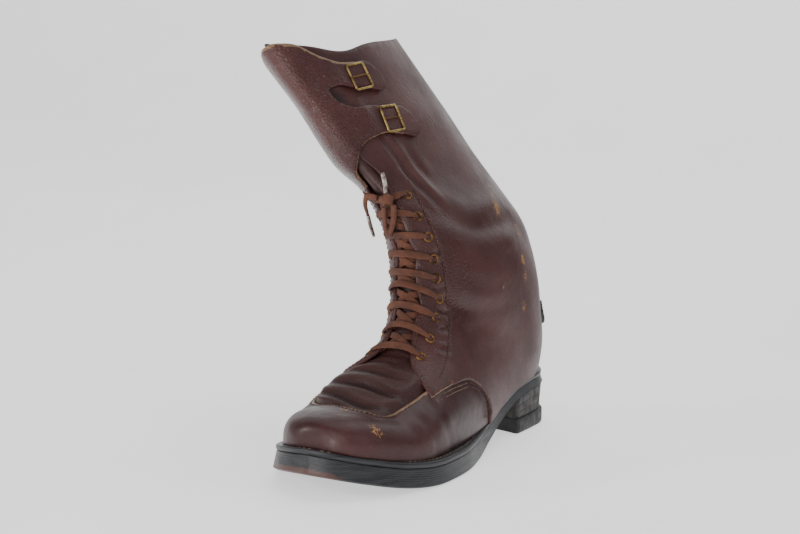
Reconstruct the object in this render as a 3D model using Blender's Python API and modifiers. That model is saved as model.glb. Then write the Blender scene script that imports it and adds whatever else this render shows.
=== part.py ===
import math

import bmesh
import bpy
import numpy as np
from mathutils import Matrix, Vector
from mathutils.geometry import delaunay_2d_cdt

# Sizes are in millimetres and become metres when a mesh is made.
# A station is a distance forward from the back of the heel. Across is positive to the outer side.
MM = 0.001
SOLE_LENGTH = 300.0
ORIGIN_STATION = 196.0
FIT_GAP = 0.3

# Leather and sole thicknesses
VAMP_WALL = 2.0
LEG_OUTER_LIFT = 1.6
LEG_WALL = 2.5
FLAP_LIFT = 3.4
TONGUE_WALL = 2.0
FEATHER_GAP = 0.4
WELT_THICKNESS = 4.0
WELT_WIDTH = 13.0
MIDSOLE_THICKNESS = 5.0
MIDSOLE_FLARE = 0.4
OUTSOLE_TOP_FLARE = 0.2
OUTSOLE_FLARE = 1.6
WAIST_THINNESS = 0.45
WAIST_STATION = 95.0
TREAD_STATION = 165.0
INSOLE_THICKNESS = 3.0
INSOLE_CLEARANCE = 3.2
INSOLE_SECTIONS = (1.0, 12.2)
HEEL_BREAST_STATION = 70.0
HEEL_BREAST_HOLLOW = 6.0
HEEL_BREAST_SLOPE = 0.4
HEEL_STACK_TOP_FLARE = 0.4
HEEL_STACK_LOW_INSET = 0.6
HEEL_TOP_PIECE_HEIGHT = 10.0
HEEL_TOP_PIECE_FLARE = 1.8
HEEL_TOP_PIECE_TOP_FLARE = 0.8

# Lacing and buckles
EYELET_RING_RADIUS = 3.3
EYELET_WIRE_RADIUS = 0.9
EYELET_HOLE_RADIUS = 2.3
EYELET_HOLE_DEPTH = 12.0
EYELET_STAND_OFF = 0.45
LACE_WIDTH = 5.6
LACE_THICKNESS = 1.2
LACE_BAR_STAND_OFF = 0.7
LACE_BAR_END_GAP = 0.6
LACE_CROSS_EDGE_GAP = 3.8
LACE_CROSS_DROPS = {1: 0.3, -1: 0.75}
LACE_CORD_RADIUS = 1.4
LACE_TIP_RADIUS = 1.2
BUCKLE_WIDTH = 16.5
BUCKLE_HEIGHT = 19.0
BUCKLE_WIRE_RADIUS = 1.1
BUCKLE_CORNER_RADIUS = 2.0
BUCKLE_STAND_OFF = 0.5
BUCKLE_TILT = 11.0
PRONG_RADIUS = 0.8

# Mesh fineness
FORM_ROWS = 221
FORM_COLUMNS = 241
FORM_TURNS = 961
PATTERN_SCALE = (150.0, 20.0)
PATTERN_CLEARANCE = 5.0
EDGE_STEP = 9.8
LEG_COLUMNS_A_SIDE = 14
LEG_ROWS = (7.75, 22.0, 0.63)
VAMP_COLUMNS = 29
VAMP_ROWS = (0.75, 10.6, 0.6)
TONGUE_COLUMNS = 7
TONGUE_ROWS = (4.5, 18.0, 0.65)
SOLE_RINGS = 32
HEEL_RINGS = 12
INSOLE_RINGS = 20
BACK_STRIP_RINGS = 16
SPUR_REST_RINGS = 11

# Sole: station, inner edge, outer edge, top of welt, ground side of outsole
SOLE_SECTIONS = (
    (0.0, -1.0, 1.0, 38.0, 29.0),
    (2.0, -12.0, 12.0, 38.0, 29.0),
    (10.0, -24.0, 24.0, 37.9, 28.9),
    (25.0, -31.0, 31.5, 37.5, 28.5),
    (45.0, -33.0, 33.5, 36.7, 27.6),
    (70.0, -31.5, 34.0, 33.9, 24.6),
    (100.0, -27.0, 36.0, 27.3, 17.0),
    (130.0, -27.0, 40.0, 20.6, 7.8),
    (160.0, -35.0, 46.0, 16.6, 1.3),
    (185.0, -45.0, 50.5, 15.5, 0.0),
    (205.0, -50.0, 52.0, 15.5, 0.0),
    (225.0, -50.5, 51.5, 15.5, 0.0),
    (245.0, -47.5, 47.5, 16.9, 1.4),
    (262.0, -42.0, 41.0, 19.4, 3.9),
    (277.0, -34.0, 33.0, 22.6, 7.2),
    (289.0, -23.0, 23.0, 25.6, 10.2),
    (297.0, -10.0, 12.0, 28.0, 12.5),
    (300.0, 0.0, 2.0, 29.0, 13.5),
)

# Upper, toe to rim: station, height and across of the front point, the same of the back point,
# inner and outer half widths, place of the widest part, roundness at the front and at the back
UPPER_SECTIONS = (
    (293.2, 25.9, 1.0, 293.2, 25.2, 1.0, 0.3, 0.3, 0.50, 2.00, 2.00),
    (291.5, 39.0, 1.0, 291.5, 22.0, 1.0, 13.5, 13.5, 0.45, 2.10, 2.60),
    (285.0, 43.5, 1.0, 285.0, 18.0, 1.0, 23.5, 23.5, 0.42, 2.30, 3.00),
    (273.0, 45.5, 0.5, 273.0, 13.0, 0.5, 32.5, 32.0, 0.40, 2.50, 3.40),
    (258.0, 45.0, 0.0, 258.0, 9.0, 0.0, 39.0, 39.0, 0.40, 2.60, 3.80),
    (244.0, 44.0, 0.0, 244.0, 7.0, 0.0, 43.0, 43.5, 0.38, 2.60, 4.00),
    (229.0, 49.5, 0.0, 228.0, 6.0, 0.0, 45.0, 46.5, 0.37, 2.50, 4.00),
    (214.0, 57.5, 0.0, 209.0, 5.5, 0.0, 44.0, 46.5, 0.34, 2.35, 4.00),
    (201.0, 65.5, 0.0, 188.0, 5.5, 0.0, 40.5, 45.5, 0.31, 2.20, 3.90),
    (190.5, 74.5, 0.0, 160.0, 7.0, 2.0, 34.0, 42.5, 0.29, 2.00, 3.80),
    (183.5, 85.5, -1.0, 122.0, 12.0, 4.0, 29.0, 38.0, 0.28, 1.90, 3.50),
    (179.5, 97.0, -2.5, 72.0, 20.0, 2.0, 30.0, 34.5, 0.30, 1.90, 3.10),
    (177.5, 109.0, -3.5, 22.0, 24.0, 0.0, 32.5, 35.5, 0.32, 1.90, 2.70),
    (175.5, 121.0, -4.0, 2.5, 47.0, 0.0, 34.5, 36.5, 0.38, 1.95, 2.35),
    (174.5, 133.0, -5.5, 2.0, 72.0, 0.0, 35.5, 36.0, 0.42, 1.95, 2.20),
    (176.0, 146.0, -8.5, 4.0, 95.0, 0.0, 36.0, 35.0, 0.45, 1.90, 2.15),
    (176.5, 158.5, -15.0, 3.5, 116.5, -4.0, 36.5, 34.0, 0.47, 1.85, 2.10),
    (176.0, 171.0, -27.0, 2.5, 137.5, -12.5, 37.0, 33.5, 0.48, 1.80, 2.10),
    (181.0, 186.0, -41.5, 13.0, 159.5, -25.0, 37.0, 32.5, 0.49, 1.75, 2.10),
    (186.0, 203.0, -54.0, 29.5, 185.5, -39.5, 36.5, 31.0, 0.50, 1.70, 2.10),
    (191.0, 220.5, -66.0, 43.5, 212.0, -54.0, 36.5, 30.5, 0.50, 1.65, 2.10),
    (196.0, 238.0, -80.5, 57.0, 238.0, -69.0, 36.5, 30.0, 0.50, 1.60, 2.10),
    (201.5, 257.0, -94.5, 69.5, 264.5, -85.0, 36.5, 30.0, 0.50, 1.60, 2.10),
)
LAST_SECTION = len(UPPER_SECTIONS) - 1

# Edges of the leather: distance round from the front line, section
OUTER_THROAT = ((0.0, 4.35), (11.0, 4.1), (19.0, 4.25), (23.8, 5.0), (26.2, 5.65), (29.0, 6.3), (31.5, 7.0),
                (36.0, 8.5))
INNER_THROAT = ((0.0, 4.35), (12.7, 4.75), (25.0, 5.12), (34.0, 5.6), (37.0, 6.4), (36.5, 7.5), (36.0, 8.5))
VAMP_REAR = ((36.0, 8.5), (46.0, 9.5), (60.0, 10.4), (76.0, 10.6), (92.0, 10.55), (101.0, 10.4))
QUARTER_FRONT = ((37.8, 7.1), (40.5, 8.0), (46.0, 9.0), (57.0, 9.8), (71.0, 10.1), (88.0, 10.1), (97.0, 9.9))
OUTER_FACING = ((37.8, 7.1), (26.0, 7.45), (16.0, 8.0), (10.5, 8.8), (9.0, 9.8), (10.0, 11.4), (7.5, 12.6),
                (5.5, 14.0), (3.0, 15.2), (5.0, 16.3), (8.5, 17.2), (10.5, 17.7), (7.0, 18.15), (1.0, 18.9),
                (-3.0, 19.8), (-3.5, 20.8), (-3.0, 22.0))
INNER_FACING = ((37.8, 7.1), (24.0, 7.3), (16.0, 7.95), (9.8, 8.8), (7.5, 10.0), (6.0, 11.3), (8.0, 12.4),
                (7.0, 13.6), (9.5, 14.6), (14.0, 15.5), (15.0, 16.1), (12.5, 16.65), (9.0, 17.0))
FLAP_LOWER_EDGE = ((-9.0, 17.0), (-4.5, 17.45), (2.0, 17.9), (8.4, 18.38), (17.0, 18.75), (25.5, 18.95),
                   (38.0, 19.17), (54.0, 19.2))
LOWER_TAB_END = ((54.0, 19.2), (66.0, 19.2), (71.0, 19.4), (71.0, 19.85), (66.0, 20.05), (54.0, 20.05))
TAB_NOTCH = ((54.0, 20.05), (38.0, 20.05), (22.0, 19.95), (15.5, 20.15), (15.5, 20.45), (22.0, 20.62), (38.0, 20.6),
             (48.0, 20.6))
UPPER_TAB_END = ((48.0, 20.6), (60.0, 20.6), (65.0, 20.8), (65.0, 21.2), (60.0, 21.4), (48.0, 21.4))
FLAP_TOP_EDGE = ((48.0, 21.4), (36.0, 21.4), (26.0, 21.55), (14.0, 21.95), (5.0, 22.0))
RIM_START = (5.0, 22.0)
RIM_DIP = 0.22
RIM_DIP_PLACE = 0.3
RIM_DIP_SPREAD = 0.13
INNER_RIM_DROP = 0.55
INNER_RIM_TURNS = (0.84, 1.06, 1.86, 2.02)
TONGUE_EDGE = ((30.0, 3.6), (38.0, 5.2), (40.0, 6.4), (38.5, 7.6), (32.0, 8.8), (27.0, 10.4), (26.0, 13.0),
               (25.0, 15.0), (21.0, 18.4))

# Flap: where it lifts off the leg, in turns round the leg and in sections
FLAP_RISE_TURNS = (1.5, 1.92)
FLAP_RISE_SECTIONS = (16.9, 18.2)

# Tongue: depth under the form, its rise behind the lace, and the bulge of its crown in the throat
TONGUE_DEPTH = 3.0
TONGUE_RISE = 0.8
TONGUE_RISE_SECTIONS = (8.8, 10.0)
TONGUE_BULGE = 2.2
TONGUE_BULGE_START = (4.7, 5.5)
TONGUE_BULGE_END = (9.0, 7.6)
TONGUE_CROWN = (24.0, 9.0)
TONGUE_CROWN_SHIFT = 5.0

BACK_STRIP_HALF_WIDTH = 6.0
BACK_STRIP_THICKNESS = 1.3
BACK_STRIP_LIFT = LEG_OUTER_LIFT + 0.8
BACK_STRIP_SECTIONS = (13.0, 21.4)

# Spur rest: its outline, then the share of its height and how proud it stands
SPUR_REST_HALF_WIDTH = 25.0
SPUR_REST_SECTIONS = (13.65, 14.35)
SPUR_REST_PROFILE = ((0.0, 3.6), (0.2, 4.2), (1.0, 1.2))
SPUR_REST_END_TAPER = 0.75

# Eyelet pairs from the toe up: section, distance round on the outer side and on the inner side
EYELET_PAIRS = (
    (8.7, 17.9, 19.0),
    (9.88, 19.5, 17.0),
    (11.05, 22.3, 16.0),
    (12.05, 24.5, 17.0),
    (12.9, 20.5, 17.5),
    (13.8, 18.3, 16.8),
    (14.8, 16.8, 19.5),
    (15.72, 14.5, 23.5),
    (16.72, 16.7, 22.0),
)

# Buckles: distance round, section
BUCKLE_PLACES = {"upper": (43.0, 21.04), "lower": (48.6, 19.72)}

# Free lace: distance round, section, lift
KNOT_PLACE = (1.0, 16.3, 6.4)
KNOT_SIZE = (4.6, 3.0, 2.9)
BOW_LOOP_ROUTE = ((-1.4, 16.06, 6.2), (-4.5, 15.5, 6.0), (-6.0, 15.05, 5.8), (-4.4, 14.82, 5.8), (-2.2, 15.05, 5.8),
                  (0.4, 15.5, 6.0), (2.6, 16.06, 6.2))
LACE_END_ROUTE = ((-1.4, 16.51, 6.4), (-4.5, 16.72, 8.0), (-9.4, 16.42, 9.0), (-15.0, 15.98, 9.0))
LACE_TIP_ROUTES = {
    "up": ((2.2, 16.56, 6.2), (5.6, 17.05, 6.4), (9.4, 17.5, 6.4)),
    "down": ((-15.6, 15.93, 9.0), (-22.0, 15.4, 9.0), (-28.0, 14.95, 8.5)),
}

COLOURS = {
    "oxblood leather": ((0.085, 0.035, 0.03, 1.0), 0.45, 0.0),
    "tongue leather": ((0.075, 0.03, 0.026, 1.0), 0.5, 0.0),
    "blacked sole leather": ((0.03, 0.03, 0.033, 1.0), 0.4, 0.0),
    "insole leather": ((0.24, 0.15, 0.09, 1.0), 0.7, 0.0),
    "black rubber": ((0.02, 0.02, 0.021, 1.0), 0.65, 0.0),
    "aged brass": ((0.45, 0.34, 0.12, 1.0), 0.35, 1.0),
    "rust brown lace": ((0.16, 0.05, 0.025, 1.0), 0.85, 0.0),
    "lace tip metal": ((0.4, 0.38, 0.36, 1.0), 0.4, 1.0),
}


def smooth_through(knots, values, at):
    knots = np.asarray(knots, float)
    values = np.asarray(values, float)
    at = np.asarray(at, float)
    slopes = np.gradient(values, knots, axis=0)
    i = np.clip(np.searchsorted(knots, at, side="right") - 1, 0, len(knots) - 2)
    span = knots[i + 1] - knots[i]
    t = (at - knots[i]) / span
    if values.ndim > 1:
        span = span[..., None]
        t = t[..., None]
    return ((2 * t**3 - 3 * t**2 + 1) * values[i] + (t**3 - 2 * t**2 + t) * span * slopes[i]
            + (3 * t**2 - 2 * t**3) * values[i + 1] + (t**3 - t**2) * span * slopes[i + 1])


def smooth_step(low, high, value):
    t = np.clip((np.asarray(value, float) - low) / (high - low), 0.0, 1.0)
    return t * t * (3.0 - 2.0 * t)


def run_length(points):
    return np.concatenate([[0.0], np.cumsum(np.linalg.norm(np.diff(points, axis=0), axis=1))])


def placed(across, station, height):
    return np.stack(np.broadcast_arrays(across, ORIGIN_STATION - np.asarray(station, float), height), axis=-1)


SOLE = np.array(SOLE_SECTIONS)
SOLE_STATIONS = SOLE[:, 0]


def welt_top(station):
    return smooth_through(SOLE_STATIONS, SOLE[:, 3], np.clip(station, 0.0, SOLE_LENGTH))


def ground_side(station):
    return np.maximum(smooth_through(SOLE_STATIONS, SOLE[:, 4], np.clip(station, 0.0, SOLE_LENGTH)), 0.0)


def make_form():
    # Each section is two half rounds that meet at its widest part.
    knots = np.arange(len(UPPER_SECTIONS))
    rows = smooth_through(knots, UPPER_SECTIONS, np.linspace(0, LAST_SECTION, FORM_ROWS))
    (front_s, front_z, front_x, back_s, back_z, back_x,
     inner, outer, widest, front_round, back_round) = [rows[:, i][:, None] for i in range(11)]
    turn = np.linspace(-math.pi, math.pi, FORM_TURNS)[None]
    roundness = np.where(np.cos(turn) >= 0, front_round, back_round)
    lengthwise = np.sign(np.cos(turn)) * np.abs(np.cos(turn)) ** (2 / roundness)
    sideways = np.sign(np.sin(turn)) * np.abs(np.sin(turn)) ** (2 / roundness)
    share = np.where(lengthwise >= 0, widest + (1 - widest) * lengthwise, widest * (1 + lengthwise))
    half_width = np.where(turn >= 0, outer, inner)
    loops = placed(back_x + (front_x - back_x) * share + half_width * sideways,
                   back_s + (front_s - back_s) * share, back_z + (front_z - back_z) * share)
    fractions = np.linspace(-1.0, 1.0, FORM_COLUMNS)
    points = np.zeros((FORM_ROWS, FORM_COLUMNS, 3))
    girth = np.zeros((FORM_ROWS, 2))
    for r in range(FORM_ROWS):
        run = run_length(loops[r])
        run -= run[len(run) // 2]
        girth[r] = -run[0], run[-1]
        wanted = np.where(fractions < 0, fractions * girth[r, 0], fractions * girth[r, 1])
        for c in range(3):
            points[r, :, c] = np.interp(wanted, run, loops[r, :, c])
    along = np.gradient(points, axis=1)
    along[:, 0] = along[:, -1] = points[:, 1] - points[:, -2]
    normals = np.cross(along, np.gradient(points, axis=0))
    normals /= np.maximum(np.linalg.norm(normals, axis=2, keepdims=True), 1e-9)
    return points, normals, girth


FORM_POINTS, FORM_NORMALS, FORM_GIRTH = make_form()
FRONT_RUN = run_length(FORM_POINTS[:, FORM_COLUMNS // 2])


def blend(grid, fraction, section):
    row = np.clip(np.asarray(section, float) / LAST_SECTION, 0, 1) * (FORM_ROWS - 1)
    column = (np.clip(np.asarray(fraction, float), -1, 1) + 1) / 2 * (FORM_COLUMNS - 1)
    r = np.clip(row.astype(int), 0, FORM_ROWS - 2)
    c = np.clip(column.astype(int), 0, FORM_COLUMNS - 2)
    u = (row - r)[..., None]
    v = (column - c)[..., None]
    return ((1 - u) * (1 - v) * grid[r, c] + u * (1 - v) * grid[r + 1, c]
            + (1 - u) * v * grid[r, c + 1] + u * v * grid[r + 1, c + 1])


def on_form(fraction, section, lift):
    fraction, section = np.broadcast_arrays(np.asarray(fraction, float), np.asarray(section, float))
    normal = blend(FORM_NORMALS, fraction, section)
    normal = normal / np.linalg.norm(normal, axis=-1, keepdims=True)
    return blend(FORM_POINTS, fraction, section) + np.asarray(lift, float)[..., None] * normal


def girth_at(section, side):
    row = np.asarray(section, float) / LAST_SECTION * (FORM_ROWS - 1)
    return np.interp(row, np.arange(FORM_ROWS), FORM_GIRTH[:, side])


def to_fraction(round_distance, section):
    side = np.where(np.asarray(round_distance) < 0, girth_at(section, 0), girth_at(section, 1))
    return np.asarray(round_distance, float) / side


def section_at_run(run):
    return np.interp(run, FRONT_RUN, np.linspace(0, LAST_SECTION, FORM_ROWS))


def form_frame(fraction, section, lift):
    # Local axes on the leather: round the leg, up the leg, outward
    point = on_form(fraction, section, lift)
    around = on_form(fraction + 0.01, section, lift) - on_form(fraction - 0.01, section, lift)
    outward = on_form(fraction, section, lift + 1.0) - point
    around -= outward * np.dot(around, outward)
    around /= np.linalg.norm(around)
    upward = np.cross(outward, around)
    return point, around, upward, outward


def feather_line(side):
    # Where the upper meets the top of the welt, from the toe's front to the heel's back
    fractions = np.linspace(0.0, 1.0, 241) * side
    sections = np.linspace(0.0, 14.0, 561)
    heights = []
    for lift in (-VAMP_WALL, LEG_OUTER_LIFT):
        points = on_form(fractions[None, :], sections[:, None], np.full((561, 241), lift))
        heights.append(points[..., 2] - welt_top(ORIGIN_STATION - points[..., 1]) - FEATHER_GAP)
    above = np.minimum(*heights)
    line = []
    for r in range(len(sections)):
        under = np.nonzero(above[r] < 0)[0]
        if len(under) and under[0] > 0:
            i = under[0]
            share = above[r, i - 1] / (above[r, i - 1] - above[r, i])
            line.append((fractions[i - 1] + share * (fractions[i] - fractions[i - 1]), sections[r]))
    line = np.array(line)
    toe = np.array([[0.0, line[0, 1]]])
    heel = np.array([[float(side), line[-1, 1] + 0.02]])
    return np.vstack([toe, line, heel])


def cut_line(table, sign):
    table = np.array(table, float)
    knots = run_length(table * (1.0, PATTERN_SCALE[1]))
    curve = smooth_through(knots, table, np.linspace(0, knots[-1], 8 * len(table)))
    return np.column_stack([to_fraction(curve[:, 0] * sign, curve[:, 1]), curve[:, 1]])


def part_of_line(line, first, last):
    picked = line[(line[:, 1] >= min(first, last)) & (line[:, 1] <= max(first, last))]
    return picked if first < last else picked[::-1]


def spaced(line, step):
    points = on_form(wrapped(line[:, 0]), line[:, 1], np.zeros(len(line)))
    run = run_length(points)
    count = max(2, int(round(run[-1] / step)) + 1)
    at = np.linspace(0, run[-1], count)
    return np.column_stack([np.interp(at, run, line[:, i]) for i in range(2)])


def wrapped(turn):
    # Turns run 0 at the front, 1 at the back by the outer side, 2 at the front again, then over the flap.
    turn = np.asarray(turn, float)
    return np.where(turn <= 1.0, turn, turn - 2.0)


def pattern(edges, columns, sections):
    # A cut piece of leather, as places on the form and the faces between them
    outline = np.vstack([spaced(edge, EDGE_STEP)[:-1] for edge in edges])
    scale = np.array(PATTERN_SCALE)
    inside = np.array([(c, s) for s in sections for c in columns])
    flat = outline * scale
    near = np.min(np.linalg.norm(inside[:, None] * scale - flat[None], axis=2), axis=1)
    inside = inside[near > PATTERN_CLEARANCE]
    flat = [Vector(p) for p in np.vstack([flat, inside * scale])]
    made = delaunay_2d_cdt(flat, [], [list(range(len(outline)))], 1, 1e-5)
    return np.array([tuple(p) for p in made[0]]) / scale, [tuple(f) for f in made[2]]


def material(name):
    found = bpy.data.materials.get(name)
    if found:
        return found
    colour, roughness, metallic = COLOURS[name]
    made = bpy.data.materials.new(name)
    made.use_nodes = True
    shader = made.node_tree.nodes["Principled BSDF"]
    shader.inputs["Base Color"].default_value = colour
    shader.inputs["Roughness"].default_value = roughness
    shader.inputs["Metallic"].default_value = metallic
    made.diffuse_color = colour
    return made


def add_object(name, points, faces, colour, collection):
    mesh = bpy.data.meshes.new(name)
    mesh.from_pydata([tuple(p) for p in np.asarray(points) * MM], [], [list(map(int, f)) for f in faces])
    mesh.validate()
    thing = bpy.data.objects.new(name, mesh)
    collection.objects.link(thing)
    if colour:
        mesh.materials.append(material(colour))
    return thing


def face_outward(thing):
    work = bmesh.new()
    work.from_mesh(thing.data)
    bmesh.ops.remove_doubles(work, verts=work.verts, dist=1e-6)
    bmesh.ops.recalc_face_normals(work, faces=work.faces)
    work.to_mesh(thing.data)
    work.free()


def loft(name, rings, colour, collection, closed=False):
    # Skins a row of rings that have the same number of points
    count = len(rings[0])
    faces = []
    for r in range(len(rings) if closed else len(rings) - 1):
        low = r * count
        high = (r + 1) % len(rings) * count
        for i in range(count):
            j = (i + 1) % count
            faces.append((low + i, low + j, high + j, high + i))
    if not closed:
        faces.append(tuple(range(count)))
        faces.append(tuple(range(len(rings) * count - 1, (len(rings) - 1) * count - 1, -1)))
    thing = add_object(name, np.vstack(rings), faces, colour, collection)
    face_outward(thing)
    return thing


def thicken(thing, thickness):
    shell = thing.modifiers.new("wall", "SOLIDIFY")
    shell.thickness = thickness * MM
    shell.offset = -1.0
    return shell


def hide_cutter(thing):
    thing.hide_render = True
    thing.display_type = "WIRE"


def boolean(thing, other, operation):
    step = thing.modifiers.new(operation.lower(), "BOOLEAN")
    step.operation = operation
    step.object = other
    step.solver = "EXACT"


def sole_edges(inset, count):
    # The sole's edge stations and widths, drawn in by an inset that may be negative
    knots = run_length(SOLE[:, [0, 2]])
    rows = smooth_through(knots, SOLE[:, :3], np.linspace(0, knots[-1], count))
    station = inset + rows[:, 0] * (SOLE_LENGTH - 2 * inset) / SOLE_LENGTH
    middle = (rows[:, 1] + rows[:, 2]) / 2
    inner = np.minimum(rows[:, 1] + inset, middle - 1.0)
    outer = np.maximum(rows[:, 2] - inset, middle + 1.0)
    return station, inner, outer


def plate_rings(top, bottom, count):
    # Each level is an inset and a height rule. Rings run across the sole.
    rings = []
    across = np.linspace(0.0, 1.0, 4)
    levels = [(sole_edges(inset, count), height) for inset, height in (top, bottom)]
    for r in range(count):
        ring = []
        for (station, inner, outer), height in levels:
            x = inner[r] + (outer[r] - inner[r]) * across
            ring.append(placed(x, station[r], height(station[r])))
        rings.append(np.vstack([ring[0], ring[1][::-1]]))
    return rings


def midsole_top(station):
    return welt_top(station) - WELT_THICKNESS - FIT_GAP


def midsole_low(station):
    # The sole is thinner through the waist and the heel seat than at the tread.
    thinning = WAIST_THINNESS + (1.0 - WAIST_THINNESS) * smooth_step(WAIST_STATION, TREAD_STATION, station)
    return midsole_top(station) - MIDSOLE_THICKNESS * thinning


def outsole_top(station):
    return midsole_low(station) - FIT_GAP


def make_sole(parts):
    midsole = plate_rings((0.0, midsole_top), (-MIDSOLE_FLARE, midsole_low), SOLE_RINGS)
    outsole = plate_rings((-OUTSOLE_TOP_FLARE, outsole_top), (-OUTSOLE_FLARE, ground_side), SOLE_RINGS)
    loft("midsole", midsole, "blacked sole leather", parts)
    loft("outsole", outsole, "blacked sole leather", parts)
    rings = []
    outer_edge = edge_loop(0.0, SOLE_RINGS)
    inner_edge = edge_loop(WELT_WIDTH, SOLE_RINGS)
    for (x, s), (inside_x, inside_s) in zip(outer_edge, inner_edge):
        rings.append(np.vstack([
            placed(x, s, welt_top(s)), placed(inside_x, inside_s, welt_top(inside_s)),
            placed(inside_x, inside_s, welt_top(inside_s) - WELT_THICKNESS),
            placed(x, s, welt_top(s) - WELT_THICKNESS)]))
    loft("welt", rings, "blacked sole leather", parts, closed=True)


def edge_loop(inset, count):
    station, inner, outer = sole_edges(inset, count)
    return np.vstack([np.column_stack([outer, station]), np.column_stack([inner, station])[::-1]])


def heel_rings(top, bottom):
    # Each level is an inset and a height rule. Rings run across the heel, closer together at its back.
    rings = []
    across = np.linspace(-1.0, 1.0, 9)
    for share in np.linspace(0.0, 1.0, HEEL_RINGS) ** 1.6:
        ring = []
        for inset, height in (top, bottom):
            station, inner, outer = sole_edges(inset, 120)
            breast = HEEL_BREAST_STATION - HEEL_BREAST_HOLLOW * (1 - across**2) - inset * HEEL_BREAST_SLOPE
            s = station[0] + share * (breast - station[0])
            left = np.interp(s, station, inner)
            right = np.interp(s, station, outer)
            x = np.where(across < 0, -across * left, across * right)
            ring.append(placed(x, s, height(s)))
        rings.append(np.vstack([ring[0], ring[1][::-1]]))
    return rings


def heel_stack_top(station):
    return ground_side(station) - FIT_GAP


def heel_stack_low(station):
    return np.full_like(station, HEEL_TOP_PIECE_HEIGHT + FIT_GAP)


def heel_piece_top(station):
    return np.full_like(station, HEEL_TOP_PIECE_HEIGHT)


def make_heel(parts):
    stack = heel_rings((-HEEL_STACK_TOP_FLARE, heel_stack_top), (HEEL_STACK_LOW_INSET, heel_stack_low))
    piece = heel_rings((-HEEL_TOP_PIECE_TOP_FLARE, heel_piece_top), (-HEEL_TOP_PIECE_FLARE, np.zeros_like))
    loft("heel_stack", stack, "blacked sole leather", parts)
    loft("heel_top_piece", piece, "black rubber", parts)


def make_insole(parts):
    # Its edge keeps clear of the inside of the upper all round.
    outer = feather_line(1)
    inner = feather_line(-1)
    rings = []
    across = np.linspace(0.0, 1.0, 3)
    for r in np.linspace(*INSOLE_SECTIONS, INSOLE_RINGS):
        ends = []
        for line in (inner, outer):
            fraction = np.interp(r, line[:, 1], line[:, 0])
            ends.append(on_form(fraction, r, -np.asarray(VAMP_WALL + INSOLE_CLEARANCE)))
        flat = ends[0] + (ends[1] - ends[0]) * across[:, None]
        s = ORIGIN_STATION - flat[:, 1]
        low = np.column_stack([flat[:, :2], welt_top(s) + FEATHER_GAP])
        high = np.column_stack([flat[:, :2], welt_top(s) + FEATHER_GAP + INSOLE_THICKNESS])
        rings.append(np.vstack([high, low[::-1]]))
    loft("insole", rings, "insole leather", parts)


def leg_lift(turn, section):
    # The flap rises off the leg's inner side and lies over the outer side.
    rise = smooth_step(*FLAP_RISE_TURNS, turn) * smooth_step(*FLAP_RISE_SECTIONS, section)
    return LEG_OUTER_LIFT + FLAP_LIFT * rise


def second_turn(line):
    return np.column_stack([line[:, 0] + 2.0, line[:, 1]])


def leg_edges():
    front = cut_line(QUARTER_FRONT, 1)
    inner_front = second_turn(cut_line(QUARTER_FRONT, -1))
    outer_low = part_of_line(feather_line(1), front[-1, 1], LAST_SECTION)
    inner_low = second_turn(part_of_line(feather_line(-1), front[-1, 1], LAST_SECTION))
    inner_facing = second_turn(cut_line(INNER_FACING, -1))
    outer_facing = cut_line(OUTER_FACING, 1)
    flap = [second_turn(cut_line(table, 1))
            for table in (FLAP_LOWER_EDGE, LOWER_TAB_END, TAB_NOTCH, UPPER_TAB_END, FLAP_TOP_EDGE)]
    rim_turns = np.linspace(2.0 + to_fraction(*RIM_START), outer_facing[-1, 0], 140)
    rim = np.array([(turn, rim_section(turn)) for turn in rim_turns])
    front[-1] = outer_low[0]
    inner_front[-1] = inner_low[0]
    inner_facing[0] = inner_front[0]
    flap[0][0] = inner_facing[-1]
    flap[-1][-1] = rim[0]
    outer_facing[-1] = rim[-1]
    outer_facing[0] = front[0]
    return [front, outer_low, inner_low[::-1], inner_front[::-1], inner_facing] + flap + [rim, outer_facing[::-1]]


def rim_section(turn):
    back, full_back, full_front, front = INNER_RIM_TURNS
    inner_drop = INNER_RIM_DROP * smooth_step(back, full_back, turn) * smooth_step(front, full_front, turn)
    return LAST_SECTION - inner_drop - RIM_DIP * math.exp(-((turn - RIM_DIP_PLACE) / RIM_DIP_SPREAD) ** 2)


def make_vamp(cutters):
    halves = []
    for side, throat_table in ((1, OUTER_THROAT), (-1, INNER_THROAT)):
        throat = cut_line(throat_table, side)
        rear = cut_line(VAMP_REAR, side)
        low = part_of_line(feather_line(side), rear[-1, 1], 0.0)
        rear[-1] = low[0]
        throat[-1] = rear[0]
        halves.append((throat, rear, low))
    (throat, rear, low), (inner_throat, inner_rear, inner_low) = halves
    edges = [throat, rear, low, inner_low[::-1], inner_rear[::-1], inner_throat[::-1]]
    columns = np.linspace(-1, 1, VAMP_COLUMNS)
    flat, faces = pattern(edges, columns, np.arange(*VAMP_ROWS))
    vamp = add_object("vamp_form", on_form(flat[:, 0], flat[:, 1], np.zeros(len(flat))), faces, "oxblood leather",
                      cutters)
    thicken(vamp, VAMP_WALL)
    hide_cutter(vamp)
    return vamp


def eyelet_places():
    for number, (section, outer, inner) in enumerate(EYELET_PAIRS):
        yield "outer", number, to_fraction(outer, section), section
        yield "inner", number, to_fraction(-inner, section), section


def make_upper(parts, cutters):
    columns = np.arange(1, 3 * LEG_COLUMNS_A_SIDE) / LEG_COLUMNS_A_SIDE
    flat, faces = pattern(leg_edges(), columns, np.arange(*LEG_ROWS))
    points = on_form(wrapped(flat[:, 0]), flat[:, 1], leg_lift(flat[:, 0], flat[:, 1]))
    upper = add_object("upper", points, faces, "oxblood leather", parts)
    thicken(upper, LEG_WALL)
    boolean(upper, make_vamp(cutters), "UNION")
    boolean(upper, make_eyelet_holes(cutters), "DIFFERENCE")


def turned_to(around, upward, outward, point):
    return Matrix([(*around_row, p) for around_row, p in zip(np.column_stack([around, upward, outward]), point * MM)]
                  + [(0.0, 0.0, 0.0, 1.0)])


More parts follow.
